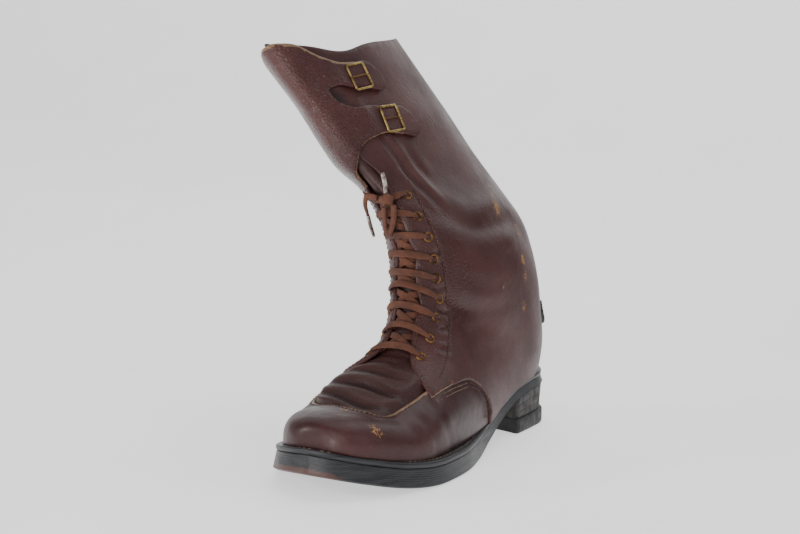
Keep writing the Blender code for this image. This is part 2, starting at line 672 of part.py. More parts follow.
def make_eyelet_holes(cutters):
    work = bmesh.new()
    for side, number, fraction, section in eyelet_places():
        point, around, upward, outward = form_frame(fraction, section, LEG_OUTER_LIFT)
        bmesh.ops.create_cone(work, cap_ends=True, segments=8, radius1=EYELET_HOLE_RADIUS * MM,
                              radius2=EYELET_HOLE_RADIUS * MM, depth=EYELET_HOLE_DEPTH * MM,
                              matrix=turned_to(around, upward, outward, point))
    mesh = bpy.data.meshes.new("eyelet_holes")
    work.to_mesh(mesh)
    work.free()
    holes = bpy.data.objects.new("eyelet_holes", mesh)
    cutters.objects.link(holes)
    hide_cutter(holes)
    return holes


def make_eyelets(parts):
    for side, number, fraction, section in eyelet_places():
        lift = LEG_OUTER_LIFT + EYELET_STAND_OFF + EYELET_WIRE_RADIUS
        point, around, upward, outward = form_frame(fraction, section, lift)
        bpy.ops.mesh.primitive_torus_add(major_segments=9, minor_segments=4, major_radius=EYELET_RING_RADIUS * MM,
                                         minor_radius=EYELET_WIRE_RADIUS * MM)
        ring = bpy.context.object
        ring.name = f"eyelet_{side}_{number + 1}"
        ring.matrix_world = turned_to(around, upward, outward, point)
        take(ring, "aged brass", parts)


def take(thing, colour, parts):
    for home in list(thing.users_collection):
        home.objects.unlink(thing)
    parts.objects.link(thing)
    thing.data.materials.clear()
    thing.data.materials.append(material(colour))
    thing.data.shade_smooth()


def make_tongue(parts):
    outer = cut_line(TONGUE_EDGE, 1)
    inner = cut_line(TONGUE_EDGE, -1)
    low = np.linspace(inner[0], outer[0], 20)
    high = np.linspace(outer[-1], inner[-1], 20)
    columns = np.linspace(-0.2, 0.2, TONGUE_COLUMNS)
    flat, faces = pattern([low, outer, high, inner[::-1]], columns, np.arange(*TONGUE_ROWS))
    fraction, section = flat.T
    distance = fraction * np.where(fraction < 0, girth_at(section, 0), girth_at(section, 1))
    crown = smooth_step(*TONGUE_CROWN, np.abs(distance + TONGUE_CROWN_SHIFT))
    bulge = crown * smooth_step(*TONGUE_BULGE_START, section) * smooth_step(*TONGUE_BULGE_END, section)
    lift = TONGUE_BULGE * bulge + TONGUE_RISE * smooth_step(*TONGUE_RISE_SECTIONS, section) - TONGUE_DEPTH
    tongue = add_object("tongue", on_form(fraction, section, lift), faces, "tongue leather", parts)
    thicken(tongue, TONGUE_WALL)


def make_back_strip(parts):
    rings = []
    for section in np.linspace(*BACK_STRIP_SECTIONS, BACK_STRIP_RINGS):
        reach = BACK_STRIP_HALF_WIDTH / girth_at(section, 1)
        turns = wrapped(1.0 + np.linspace(-reach, reach, 5))
        low = on_form(turns, section, np.full(5, BACK_STRIP_LIFT))
        high = on_form(turns, section, np.full(5, BACK_STRIP_LIFT + BACK_STRIP_THICKNESS))
        rings.append(np.vstack([high, low[::-1]]))
    loft("back_strip", rings, "oxblood leather", parts)


def make_spur_rest(parts):
    # A wedge round the back of the heel, thin at its top and proud at its foot
    first, last = SPUR_REST_SECTIONS
    base = BACK_STRIP_LIFT + BACK_STRIP_THICKNESS + FIT_GAP
    rings = []
    for share in np.linspace(-1.0, 1.0, SPUR_REST_RINGS):
        taper = 1.0 - SPUR_REST_END_TAPER * abs(share) ** 3
        high = []
        low = []
        for along, proud in SPUR_REST_PROFILE:
            section = first + along * (last - first)
            turn = wrapped(1.0 + share * SPUR_REST_HALF_WIDTH / girth_at(section, 1))
            high.append(on_form(turn, section, np.asarray(base + proud * taper)))
            low.append(on_form(turn, section, np.asarray(base)))
        rings.append(np.vstack(high + low[::-1]))
    loft("spur_rest", rings, "black rubber", parts)


def flat_strip(points, widths, heights):
    # Rings of a flat lace along a path, four corners each
    half = LACE_WIDTH / 2
    thick = LACE_THICKNESS / 2
    return [np.vstack([p + w * half + h * thick, p - w * half + h * thick, p - w * half - h * thick,
                       p + w * half - h * thick]) for p, w, h in zip(points, widths, heights)]


def lace_path(start, end, lift, count):
    points = []
    widths = []
    heights = []
    for share in np.linspace(0.0, 1.0, count):
        fraction = start[0] + share * (end[0] - start[0])
        section = start[1] + share * (end[1] - start[1])
        point, around, upward, outward = form_frame(fraction, section, lift)
        points.append(point)
        widths.append(upward)
        heights.append(outward)
    points = np.array(points)
    for i, tangent in enumerate(np.gradient(points, axis=0)):
        side = np.cross(heights[i], tangent)
        widths[i] = side / np.linalg.norm(side)
    return flat_strip(points, widths, heights)


def crossing_end(sign, section):
    # A crossing keeps inside the gap between the two facings.
    rounds, sections = np.array(OUTER_FACING if sign > 0 else INNER_FACING).T
    edge = np.interp(section, sections, rounds)
    return to_fraction(sign * (edge - LACE_CROSS_EDGE_GAP), section), section


def make_lace(parts, cutters):
    places = {}
    for side, number, fraction, section in eyelet_places():
        places[side, number] = (fraction, section)
    reach = EYELET_RING_RADIUS + EYELET_WIRE_RADIUS + LACE_BAR_END_GAP
    bar_lift = LEG_OUTER_LIFT + LACE_BAR_STAND_OFF + LACE_THICKNESS / 2
    pairs = len(EYELET_PAIRS)
    pieces = []
    for i in range(pairs):
        ends = []
        for side, sign in (("inner", -1), ("outer", 1)):
            fraction, section = places[side, i]
            ends.append((fraction - to_fraction(sign * reach, section), section))
        pieces.append(loft(f"lace_bar_{i + 1}", lace_path(ends[0], ends[1], bar_lift, 5), None, cutters))
        if i + 1 < pairs:
            for sign, drop in LACE_CROSS_DROPS.items():
                low = crossing_end(sign, places["outer", i][1])
                high = crossing_end(-sign, places["outer", i + 1][1])
                strip = lace_path(low, high, bar_lift - drop, 3)
                pieces.append(loft(f"lace_cross_{i + 1}_{sign}", strip, None, cutters))
    lace = pieces[0]
    cutters.objects.unlink(lace)
    parts.objects.link(lace)
    lace.name = "lace_crossings"
    lace.data.materials.append(material("rust brown lace"))
    for piece in pieces[1:]:
        hide_cutter(piece)
        boolean(lace, piece, "UNION")


def cord(name, route, radius, colour, parts):
    route = np.array(route)
    route = on_form(to_fraction(route[:, 0], route[:, 1]), route[:, 1], route[:, 2])
    knots = run_length(route)
    path = smooth_through(knots, route, np.linspace(0, knots[-1], int(knots[-1] / (2 * radius)) + 2))
    curve = bpy.data.curves.new(name, "CURVE")
    curve.dimensions = "3D"
    curve.bevel_depth = radius * MM
    curve.bevel_resolution = 2
    curve.use_fill_caps = True
    spline = curve.splines.new("POLY")
    spline.points.add(len(path) - 1)
    for point, place in zip(spline.points, path):
        point.co = (*(place * MM), 1.0)
    curve.materials.append(material(colour))
    thing = bpy.data.objects.new(name, curve)
    parts.objects.link(thing)


def make_free_lace(parts):
    round_distance, section, lift = KNOT_PLACE
    point, around, upward, outward = form_frame(to_fraction(round_distance, section), section, lift)
    bpy.ops.mesh.primitive_uv_sphere_add(segments=10, ring_count=6, radius=MM)
    knot = bpy.context.object
    knot.name = "lace_knot"
    knot.scale = KNOT_SIZE
    bpy.ops.object.transform_apply(location=False, rotation=False, scale=True)
    knot.matrix_world = turned_to(around, upward, outward, point)
    take(knot, "rust brown lace", parts)
    cord("lace_bow_loop", BOW_LOOP_ROUTE, LACE_CORD_RADIUS, "rust brown lace", parts)
    cord("lace_end", LACE_END_ROUTE, LACE_CORD_RADIUS, "rust brown lace", parts)
    for end, route in LACE_TIP_ROUTES.items():
        cord(f"lace_tip_{end}", route, LACE_TIP_RADIUS, "lace tip metal", parts)


def make_buckles(parts):
    for name, (round_distance, section) in BUCKLE_PLACES.items():
        lift = LEG_OUTER_LIFT + FLAP_LIFT + BUCKLE_STAND_OFF + BUCKLE_WIRE_RADIUS
        point, around, upward, outward = form_frame(to_fraction(round_distance, section), section, lift)
        place = turned_to(around, upward, outward, point) @ Matrix.Rotation(math.radians(BUCKLE_TILT), 4, "Z")
        curve = bpy.data.curves.new(f"buckle_frame_{name}", "CURVE")
        curve.dimensions = "3D"
        curve.bevel_depth = BUCKLE_WIRE_RADIUS * MM
        curve.bevel_resolution = 1
        spline = curve.splines.new("POLY")
        corners = rounded_rectangle(BUCKLE_WIDTH / 2 - BUCKLE_WIRE_RADIUS, BUCKLE_HEIGHT / 2 - BUCKLE_WIRE_RADIUS,
                                    BUCKLE_CORNER_RADIUS)
        spline.points.add(len(corners) - 1)
        for spot, (x, y) in zip(spline.points, corners):
            spot.co = (x * MM, y * MM, 0.0, 1.0)
        spline.use_cyclic_u = True
        curve.materials.append(material("aged brass"))
        frame = bpy.data.objects.new(f"buckle_frame_{name}", curve)
        frame.matrix_world = place
        parts.objects.link(frame)
        length = BUCKLE_WIDTH - 4 * BUCKLE_WIRE_RADIUS - 2 * FIT_GAP
        bpy.ops.mesh.primitive_cylinder_add(vertices=8, radius=PRONG_RADIUS * MM, depth=length * MM)
        prong = bpy.context.object
        prong.name = f"buckle_prong_{name}"
        prong.matrix_world = place @ Matrix.Rotation(math.radians(90.0), 4, "Y")
        take(prong, "aged brass", parts)


def rounded_rectangle(half_width, half_height, radius):
    corners = []
    for quarter, (sx, sy) in enumerate(((1, 1), (-1, 1), (-1, -1), (1, -1))):
        for step in range(3):
            angle = math.radians(90.0 * quarter + 45.0 * step)
            corners.append((sx * (half_width - radius) + radius * math.cos(angle),
                            sy * (half_height - radius) + radius * math.sin(angle)))
    return corners


def clear_scene():
    for thing in list(bpy.data.objects):
        bpy.data.objects.remove(thing, do_unlink=True)


def build():
    clear_scene()
    parts = bpy.data.collections.new("officer_boot")
    cutters = bpy.data.collections.new("officer_boot_cutters")
    bpy.context.scene.collection.children.link(parts)
    bpy.context.scene.collection.children.link(cutters)
    make_sole(parts)
    make_heel(parts)
    make_insole(parts)
    make_upper(parts, cutters)
    make_tongue(parts)
    make_back_strip(parts)
    make_spur_rest(parts)
    make_eyelets(parts)
    make_lace(parts, cutters)
    make_free_lace(parts)
    make_buckles(parts)


build()
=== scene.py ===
import math

import bpy
import numpy as np
from mathutils import Matrix, Vector
from mathutils.geometry import delaunay_2d_cdt


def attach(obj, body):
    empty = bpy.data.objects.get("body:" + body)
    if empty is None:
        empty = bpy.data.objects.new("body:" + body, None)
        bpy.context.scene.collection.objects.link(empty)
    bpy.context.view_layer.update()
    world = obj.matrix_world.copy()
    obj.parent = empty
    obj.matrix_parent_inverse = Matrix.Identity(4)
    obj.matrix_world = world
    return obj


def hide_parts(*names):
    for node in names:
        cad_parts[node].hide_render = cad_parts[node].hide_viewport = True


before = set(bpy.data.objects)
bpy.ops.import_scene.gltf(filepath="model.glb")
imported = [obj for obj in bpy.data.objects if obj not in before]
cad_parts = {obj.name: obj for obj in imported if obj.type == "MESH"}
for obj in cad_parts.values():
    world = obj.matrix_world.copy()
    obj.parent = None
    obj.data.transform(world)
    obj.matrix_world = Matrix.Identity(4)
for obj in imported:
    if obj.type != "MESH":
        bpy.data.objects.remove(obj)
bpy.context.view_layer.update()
bpy.ops.object.select_all(action="DESELECT")
print("frame loaded, nodes:", len(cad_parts))

# sizes below are in millimetres; across is positive to the outer side, a station runs forward from the heel
mm = 0.001

bootForm = {
    "soleLength": 300.0,
    "originStation": 196.0,
    "rows": 353,
    "columns": 481,
    "loopPoints": 1441,
    # station, inner edge, outer edge, top of welt, ground side
    "soleSections": (
        (0.0, -1.0, 1.0, 38.0, 29.0), (2.0, -12.0, 12.0, 38.0, 29.0), (10.0, -24.0, 24.0, 37.9, 28.9),
        (25.0, -31.0, 31.5, 37.5, 28.5), (45.0, -33.0, 33.5, 36.7, 27.6), (70.0, -31.5, 34.0, 33.9, 24.6),
        (100.0, -27.0, 36.0, 27.3, 17.0), (130.0, -27.0, 40.0, 20.6, 7.8), (160.0, -35.0, 46.0, 16.6, 1.3),
        (185.0, -45.0, 50.5, 15.5, 0.0), (205.0, -50.0, 52.0, 15.5, 0.0), (225.0, -50.5, 51.5, 15.5, 0.0),
        (245.0, -47.5, 47.5, 16.9, 1.4), (262.0, -42.0, 41.0, 19.4, 3.9), (277.0, -34.0, 33.0, 22.6, 7.2),
        (289.0, -23.0, 23.0, 25.6, 10.2), (297.0, -10.0, 12.0, 28.0, 12.5), (300.0, 0.0, 2.0, 29.0, 13.5),
    ),
    # front station, height, across; back station, height, across;
    # inner and outer half widths; widest place; roundness at the front and the back
    "upperSections": (
        (293.2, 25.9, 1.0, 293.2, 25.2, 1.0, 0.3, 0.3, 0.50, 2.00, 2.00),
        (291.5, 39.0, 1.0, 291.5, 22.0, 1.0, 13.5, 13.5, 0.45, 2.10, 2.60),
        (285.0, 43.5, 1.0, 285.0, 18.0, 1.0, 23.5, 23.5, 0.42, 2.30, 3.00),
        (273.0, 45.5, 0.5, 273.0, 13.0, 0.5, 32.5, 32.0, 0.40, 2.50, 3.40),
        (258.0, 45.0, 0.0, 258.0, 9.0, 0.0, 39.0, 39.0, 0.40, 2.60, 3.80),
        (244.0, 44.0, 0.0, 244.0, 7.0, 0.0, 43.0, 43.5, 0.38, 2.60, 4.00),
        (229.0, 49.5, 0.0, 228.0, 6.0, 0.0, 45.0, 46.5, 0.37, 2.50, 4.00),
        (214.0, 57.5, 0.0, 209.0, 5.5, 0.0, 44.0, 46.5, 0.34, 2.35, 4.00),
        (201.0, 65.5, 0.0, 188.0, 5.5, 0.0, 40.5, 45.5, 0.31, 2.20, 3.90),
        (190.5, 74.5, 0.0, 160.0, 7.0, 2.0, 34.0, 42.5, 0.29, 2.00, 3.80),
        (183.5, 85.5, -1.0, 122.0, 12.0, 4.0, 29.0, 38.0, 0.28, 1.90, 3.50),
        (179.5, 97.0, -2.5, 72.0, 20.0, 2.0, 30.0, 34.5, 0.30, 1.90, 3.10),
        (177.5, 109.0, -3.5, 22.0, 24.0, 0.0, 32.5, 35.5, 0.32, 1.90, 2.70),
        (175.5, 121.0, -4.0, 2.5, 47.0, 0.0, 34.5, 36.5, 0.38, 1.95, 2.35),
        (174.5, 133.0, -5.5, 2.0, 72.0, 0.0, 35.5, 36.0, 0.42, 1.95, 2.20),
        (176.0, 146.0, -8.5, 4.0, 95.0, 0.0, 36.0, 35.0, 0.45, 1.90, 2.15),
        (176.5, 158.5, -15.0, 3.5, 116.5, -4.0, 36.5, 34.0, 0.47, 1.85, 2.10),
        (176.0, 171.0, -27.0, 2.5, 137.5, -12.5, 37.0, 33.5, 0.48, 1.80, 2.10),
        (181.0, 186.0, -41.5, 13.0, 159.5, -25.0, 37.0, 32.5, 0.49, 1.75, 2.10),
        (186.0, 203.0, -54.0, 29.5, 185.5, -39.5, 36.5, 31.0, 0.50, 1.70, 2.10),
        (191.0, 220.5, -66.0, 43.5, 212.0, -54.0, 36.5, 30.5, 0.50, 1.65, 2.10),
        (196.0, 238.0, -80.5, 57.0, 238.0, -69.0, 36.5, 30.0, 0.50, 1.60, 2.10),
        (201.5, 257.0, -94.5, 69.5, 264.5, -85.0, 36.5, 30.0, 0.50, 1.60, 2.10),
    ),
}
lastSection = len(bootForm["upperSections"]) - 1


def smoothThrough(knots, values, at):
    knots, values, at = np.asarray(knots, float), np.asarray(values, float), np.asarray(at, float)
    slopes = np.gradient(values, knots, axis=0)
    i = np.clip(np.searchsorted(knots, at, side="right") - 1, 0, len(knots) - 2)
    span = knots[i + 1] - knots[i]
    t = (at - knots[i]) / span
    if values.ndim > 1:
        span, t = span[..., None], t[..., None]
    return ((2 * t**3 - 3 * t**2 + 1) * values[i] + (t**3 - 2 * t**2 + t) * span * slopes[i]
            + (3 * t**2 - 2 * t**3) * values[i + 1] + (t**3 - t**2) * span * slopes[i + 1])


def smoothStep(low, high, value):
    t = np.clip((np.asarray(value, float) - low) / (high - low), 0.0, 1.0)
    return t * t * (3.0 - 2.0 * t)


def runLength(points):
    return np.concatenate([[0.0], np.cumsum(np.linalg.norm(np.diff(points, axis=0), axis=1))])


def placed(across, station, height):
    along = bootForm["originStation"] - np.asarray(station, float)
    return np.stack(np.broadcast_arrays(across, along, height), axis=-1)


soleRows = np.array(bootForm["soleSections"])


def soleHeight(station, column):
    return smoothThrough(soleRows[:, 0], soleRows[:, column],
                         np.clip(station, 0.0, bootForm["soleLength"]))


def weltTop(station):
    return soleHeight(station, 3)


def groundSide(station):
    return np.maximum(soleHeight(station, 4), 0.0)


def makeForm():
    rows = bootForm["rows"]
    columns = smoothThrough(np.arange(lastSection + 1), bootForm["upperSections"],
                            np.linspace(0, lastSection, rows))
    (frontS, frontZ, frontX, backS, backZ, backX,
     inner, outer, widest, frontRound, backRound) = columns.T[:, :, None]
    turn = np.linspace(-math.pi, math.pi, bootForm["loopPoints"])[None]
    roundness = np.where(np.cos(turn) >= 0, frontRound, backRound)
    lengthwise = np.sign(np.cos(turn)) * np.abs(np.cos(turn)) ** (2 / roundness)
    sideways = np.sign(np.sin(turn)) * np.abs(np.sin(turn)) ** (2 / roundness)
    share = np.where(lengthwise >= 0, widest + (1 - widest) * lengthwise, widest * (1 + lengthwise))
    halfWidth = np.where(turn >= 0, outer, inner)
    loops = placed(backX + (frontX - backX) * share + halfWidth * sideways,
                   backS + (frontS - backS) * share, backZ + (frontZ - backZ) * share)
    fractions = np.linspace(-1.0, 1.0, bootForm["columns"])
    points = np.zeros((rows, bootForm["columns"], 3))
    girth = np.zeros((rows, 2))
    for r in range(rows):
        run = runLength(loops[r])
        run -= run[len(run) // 2]
        girth[r] = -run[0], run[-1]
        wanted = np.where(fractions < 0, fractions * girth[r, 0], fractions * girth[r, 1])
        for c in range(3):
            points[r, :, c] = np.interp(wanted, run, loops[r, :, c])
    along = np.gradient(points, axis=1)
    along[:, 0] = along[:, -1] = points[:, 1] - points[:, -2]
    normals = np.cross(along, np.gradient(points, axis=0))
    normals /= np.maximum(np.linalg.norm(normals, axis=2, keepdims=True), 1e-9)
    return points, normals, girth


formPoints, formNormals, formGirth = makeForm()


def readGrid(grid, fraction, section):
    row = np.clip(np.asarray(section, float) / lastSection, 0, 1) * (bootForm["rows"] - 1)
    column = (np.clip(np.asarray(fraction, float), -1, 1) + 1) / 2 * (bootForm["columns"] - 1)
    r = np.clip(row.astype(int), 0, bootForm["rows"] - 2)
    c = np.clip(column.astype(int), 0, bootForm["columns"] - 2)
    u, v = (row - r)[..., None], (column - c)[..., None]
    return ((1 - u) * (1 - v) * grid[r, c] + u * (1 - v) * grid[r + 1, c]
            + (1 - u) * v * grid[r, c + 1] + u * v * grid[r + 1, c + 1])


def wrapped(turn):
    # turns run 0 at the front, 1 at the back by the outer side, 2 at the front again, then over the flap
    turn = np.asarray(turn, float)
    return np.where(turn <= 1.0, turn, turn - 2.0)


def normalOn(turn, section):
    normal = readGrid(formNormals, wrapped(turn), section)
    return normal / np.linalg.norm(normal, axis=-1, keepdims=True)


def onForm(turn, section, lift):
    turn, section = np.broadcast_arrays(np.asarray(turn, float), np.asarray(section, float))
    raised = np.asarray(lift, float)[..., None] * normalOn(turn, section)
    return readGrid(formPoints, wrapped(turn), section) + raised


def girthAt(section, side):
    row = np.asarray(section, float) / lastSection * (bootForm["rows"] - 1)
    return np.interp(row, np.arange(bootForm["rows"]), formGirth[:, side])


def toTurn(roundDistance, section):
    girth = np.where(np.asarray(roundDistance) < 0, girthAt(section, 0), girthAt(section, 1))
    return np.asarray(roundDistance, float) / girth


def localAxes(turn, section, lift):
    point = onForm(turn, section, lift)
    nudge = 0.01
    around = onForm(turn + nudge, section, lift) - onForm(turn - nudge, section, lift)
    outward = normalOn(turn, section)
    around = around - outward * np.dot(around, outward)
    around = around / np.linalg.norm(around)
    return point, around, np.cross(outward, around), outward


def placeMatrix(around, upward, outward, point):
    axes = np.column_stack([around, upward, outward])
    return Matrix([(*axes[i], point[i] * mm) for i in range(3)] + [(0.0, 0.0, 0.0, 1.0)])


# small helpers for objects

def addMesh(name, points, faces):
    mesh = bpy.data.meshes.new(name)
    mesh.from_pydata((np.asarray(points) * mm).tolist(), [], [[int(i) for i in f] for f in faces])
    mesh.validate()
    thing = bpy.data.objects.new(name, mesh)
    bpy.context.scene.collection.objects.link(thing)
    return thing


def choose(thing):
    bpy.ops.object.select_all(action="DESELECT")
    thing.select_set(True)
    bpy.context.view_layer.objects.active = thing


def closeAndSmooth(thing):
    choose(thing)
    bpy.ops.object.mode_set(mode="EDIT")
    bpy.ops.mesh.select_all(action="SELECT")
    bpy.ops.mesh.remove_doubles(threshold=1e-6)
    bpy.ops.mesh.normals_make_consistent(inside=False)
    bpy.ops.object.mode_set(mode="OBJECT")
    bpy.ops.object.shade_smooth()


def ringFaces(count, rings, first=0, closed=False):
    faces = []
    for r in range(rings if closed else rings - 1):
        low, high = first + r * count, first + (r + 1) % rings * count
        faces += [(low + i, low + (i + 1) % count, high + (i + 1) % count, high + i)
                  for i in range(count)]
    return faces


def tubeFaces(count, rings, first=0):
    last = first + rings * count - 1
    ends = [tuple(range(first, first + count)), tuple(range(last, last - count, -1))]
    return ringFaces(count, rings, first) + ends


def skinRings(name, rings, closed=False):
    count = len(rings[0])
    faces = ringFaces(count, len(rings), closed=True) if closed else tubeFaces(count, len(rings))
    thing = addMesh(name, np.vstack(rings), faces)
    closeAndSmooth(thing)
    return thing


def meshPoints(thing):
    flat = np.zeros(len(thing.data.vertices) * 3)
    thing.data.vertices.foreach_get("co", flat)
    return flat.reshape(-1, 3) / mm


def settle(thing, finishes, slotName, *nodes):
    thing.data.materials.clear()
    for finish in finishes:
        thing.data.materials.append(finish)
    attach(thing, "root")
    if nodes:
        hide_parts(*nodes)
    return thing


def storeShare(thing, name, values):
    attribute = thing.data.attributes.new(name, "FLOAT", "POINT")
    attribute.data.foreach_set("value", np.asarray(values, np.float32))


def nearest(points, targets):
    # distance from each point to the nearest of the targets, and which one it is
    best = np.zeros(len(points))
    which = np.zeros(len(points), int)
    batch = 4000
    for start in range(0, len(points), batch):
        part = slice(start, start + batch)
        square = ((points[part, None, :] - targets[None]) ** 2).sum(2)
        which[part] = square.argmin(1)
        best[part] = np.sqrt(square.min(1))
    return best, which


# finishes

class Finish:
    def __init__(self, name):
        self.material = bpy.data.materials.new(name)
        self.material.use_nodes = True
        self.nodes = self.material.node_tree.nodes
        self.links = self.material.node_tree.links
        self.shader = self.nodes["Principled BSDF"]
        self.place = self.nodes.new("ShaderNodeTexCoord").outputs["Object"]

    def plug(self, value, socket):
        if isinstance(value, bpy.types.NodeSocket):
            self.links.new(value, socket)
        else:
            socket.default_value = value

    def set(self, **sockets):
        for name, value in sockets.items():
            self.plug(value, self.shader.inputs[name.replace("_", " ")])

    def noise(self, scale, detail=3.0, rough=0.5, stretch=None, distort=0.0):
        node = self.nodes.new("ShaderNodeTexNoise")
        node.inputs["Scale"].default_value = scale
        node.inputs["Detail"].default_value = detail
        node.inputs["Roughness"].default_value = rough
        node.inputs["Distortion"].default_value = distort
        self.plug(self.stretched(stretch), node.inputs["Vector"])
        return node.outputs["Fac"]

    def cells(self, scale, smooth=0.4, stretch=None):
        node = self.nodes.new("ShaderNodeTexVoronoi")
        node.feature = "SMOOTH_F1"
        node.inputs["Scale"].default_value = scale
        node.inputs["Smoothness"].default_value = smooth
        self.plug(self.stretched(stretch), node.inputs["Vector"])
        return node.outputs["Distance"]

    def stretched(self, stretch):
        if stretch is None:
            return self.place
        node = self.nodes.new("ShaderNodeMapping")
        node.inputs["Scale"].default_value = stretch
        self.links.new(self.place, node.inputs["Vector"])
        return node.outputs["Vector"]

    def axis(self, name):
        node = self.nodes.new("ShaderNodeSeparateXYZ")
        self.links.new(self.place, node.inputs["Vector"])
        return node.outputs[name]

    def share(self, name):
        node = self.nodes.new("ShaderNodeAttribute")
        node.attribute_name = name
        return node.outputs["Fac"]

    def fit(self, value, low, high, newLow=0.0, newHigh=1.0):
        node = self.nodes.new("ShaderNodeMapRange")
        node.interpolation_type = "SMOOTHSTEP"
        for name, number in zip(("From Min", "From Max", "To Min", "To Max"),
                                (low, high, newLow, newHigh)):
            node.inputs[name].default_value = number
        self.plug(value, node.inputs["Value"])
        return node.outputs["Result"]

    def math(self, operation, first, second):
        node = self.nodes.new("ShaderNodeMath")
        node.operation = operation
        self.plug(first, node.inputs[0])
        self.plug(second, node.inputs[1])
        return node.outputs["Value"]

    def plus(self, first, second):
        return self.math("ADD", first, second)

    def minus(self, first, second):
        return self.math("SUBTRACT", first, second)

    def times(self, first, second):
        return self.math("MULTIPLY", first, second)

    def patches(self, noise, share):
        return self.fit(self.noise(*noise), *share)

    def worn(self, name, noise, weight, share):
        # a stored share whose border is broken up by noise
        return self.fit(self.plus(self.share(name), self.times(noise, weight)), *share)

    def mix(self, factor, first, second, kind="MIX"):
        node = self.nodes.new("ShaderNodeMix")
        node.data_type = "RGBA"
        node.blend_type = kind
        self.plug(factor, node.inputs["Factor"])
        for socket, value in (("A", first), ("B", second)):
            target = [s for s in node.inputs if s.name == socket and s.type == "RGBA"][0]
            self.plug(value if isinstance(value, bpy.types.NodeSocket) else (*value, 1.0), target)
        return [s for s in node.outputs if s.type == "RGBA"][0]

    def bump(self, height, strength, distance, under=None):
        node = self.nodes.new("ShaderNodeBump")
        node.inputs["Strength"].default_value = strength
        node.inputs["Distance"].default_value = distance
        self.plug(height, node.inputs["Height"])
        if under is not None:
            self.links.new(under, node.inputs["Normal"])
        return node.outputs["Normal"]


# a noise is its scale, detail, roughness, stretch and distortion
# a share is the range a value is read in and the range it is given
evenShare = (0.3, 0.7)

# the dusty tone serves for dust patches and for the painted highlight on crease ridges
leatherLooks = {
    "leg": {"dark": (0.042, 0.0138, 0.0128), "warm": (0.078, 0.0278, 0.0254),
            "dustAndHighlight": (0.100, 0.058, 0.052),
            "cells": 740.0, "grain": 0.08, "pebble": 0.85, "rough": (0.40, 0.56), "coat": 0.03},
    "vamp": {"dark": (0.031, 0.0100, 0.0102), "warm": (0.058, 0.0198, 0.0196),
             "dustAndHighlight": (0.078, 0.045, 0.042),
             "cells": 760.0, "grain": 0.10, "pebble": 0.0, "rough": (0.34, 0.52), "coat": 0.05},
    "tongue": {"dark": (0.030, 0.0105, 0.0095), "warm": (0.056, 0.0200, 0.0180),
               "dustAndHighlight": (0.080, 0.048, 0.041),
               "cells": 700.0, "grain": 0.35, "pebble": 0.3, "rough": (0.40, 0.58), "coat": 0.05},
}


leatherWear = {
    "broad": ((15.0, 5.0, 0.6), evenShare),
    "mottle": ((95.0, 5.0, 0.6), (0.35, 0.75, 0.0, 0.35)),
    "dust": ((48.0, 7.0, 0.66), (0.55, 0.8, 0.0, 0.32)),
    # painted shade in the creases, and a paler painted highlight with dust on their ridges
    "crease": (0.1, 1.0, 0.0, 0.8), "creaseShadeColour": (0.010, 0.0045, 0.004),
    "ridge": (0.1, 1.0, 0.0, 0.55),
    "rub": {"noise": (420.0, 5.0, 0.65), "weight": 0.7, "share": (0.98, 1.25), "strength": 0.75,
            "colour": (0.25, 0.155, 0.085)},
    "chips": {"noise": (540.0, 6.0, 0.74, None, 0.8), "weight": 2.4, "share": (1.78, 1.9),
              "strength": 0.85, "colour": (0.42, 0.21, 0.075), "roughness": 0.25},
    "scratch": ((60.0, 3.0, 0.5, (1.0, 9.0, 5.0)), (0.70, 0.74, 0.0, 0.3)),
    "scratchColour": (0.16, 0.10, 0.08),
    "polish": (34.0, 6.0, 0.62), "polishRange": (0.3, 0.72), "pebbleGloss": 0.27,
    "soft": (140.0, 5.0, 0.6), "fine": (1900.0, 3.0, 0.6),
    # strength and depth of each bump
    "softBump": (0.4, 0.0007), "grainBump": (0.8, 0.0007), "fineBump": (0.06, 0.0002),
    "coatRoughness": 0.25, "specular": 0.28,
}


def leatherFinish(name, looks):
    finish, wear = Finish(name), leatherWear
    colour = finish.mix(finish.patches(*wear["broad"]), looks["dark"], looks["warm"])
    colour = finish.mix(finish.patches(*wear["mottle"]), colour, looks["dark"])
    colour = finish.mix(finish.patches(*wear["dust"]), colour, looks["dustAndHighlight"])
    # painted shade darkens the creases, and their ridges get a paler tone that is painted highlight and dust
    colour = finish.mix(finish.fit(finish.share("crease"), *wear["crease"]), colour, wear["creaseShadeColour"])
    colour = finish.mix(finish.fit(finish.share("ridge"), *wear["ridge"]), colour, looks["dustAndHighlight"])
    # tan leather shows where the colour has rubbed off edges and where it is scuffed
    bare = {}
    for share, kind in (("edgeRub", "rub"), ("scuff", "chips")):
        mark = wear[kind]
        bare[kind] = finish.worn(share, finish.noise(*mark["noise"]), mark["weight"], mark["share"])
        colour = finish.mix(finish.times(bare[kind], mark["strength"]), colour, mark["colour"])
    colour = finish.mix(finish.patches(*wear["scratch"]), colour, wear["scratchColour"])
    pebble = finish.share("pebble")
    roughness = finish.patches(wear["polish"], wear["polishRange"] + looks["rough"])
    roughness = finish.plus(roughness, finish.times(bare["chips"], wear["chips"]["roughness"]))
    roughness = finish.minus(roughness, finish.times(pebble, wear["pebbleGloss"]))
    # the grain stands up in low domes
    cell = finish.cells(looks["cells"])
    depth = finish.plus(finish.times(pebble, looks["pebble"]), looks["grain"])
    grain = finish.times(finish.minus(1.0, finish.times(cell, cell)), depth)
    normal = finish.bump(finish.noise(*wear["soft"]), *wear["softBump"])
    normal = finish.bump(grain, *wear["grainBump"], normal)
    normal = finish.bump(finish.noise(*wear["fine"]), *wear["fineBump"], normal)
    finish.set(Base_Color=colour, Roughness=roughness, Normal=normal, Coat_Weight=looks["coat"],
               Coat_Roughness=wear["coatRoughness"], Specular_IOR_Level=wear["specular"])
    return finish.material


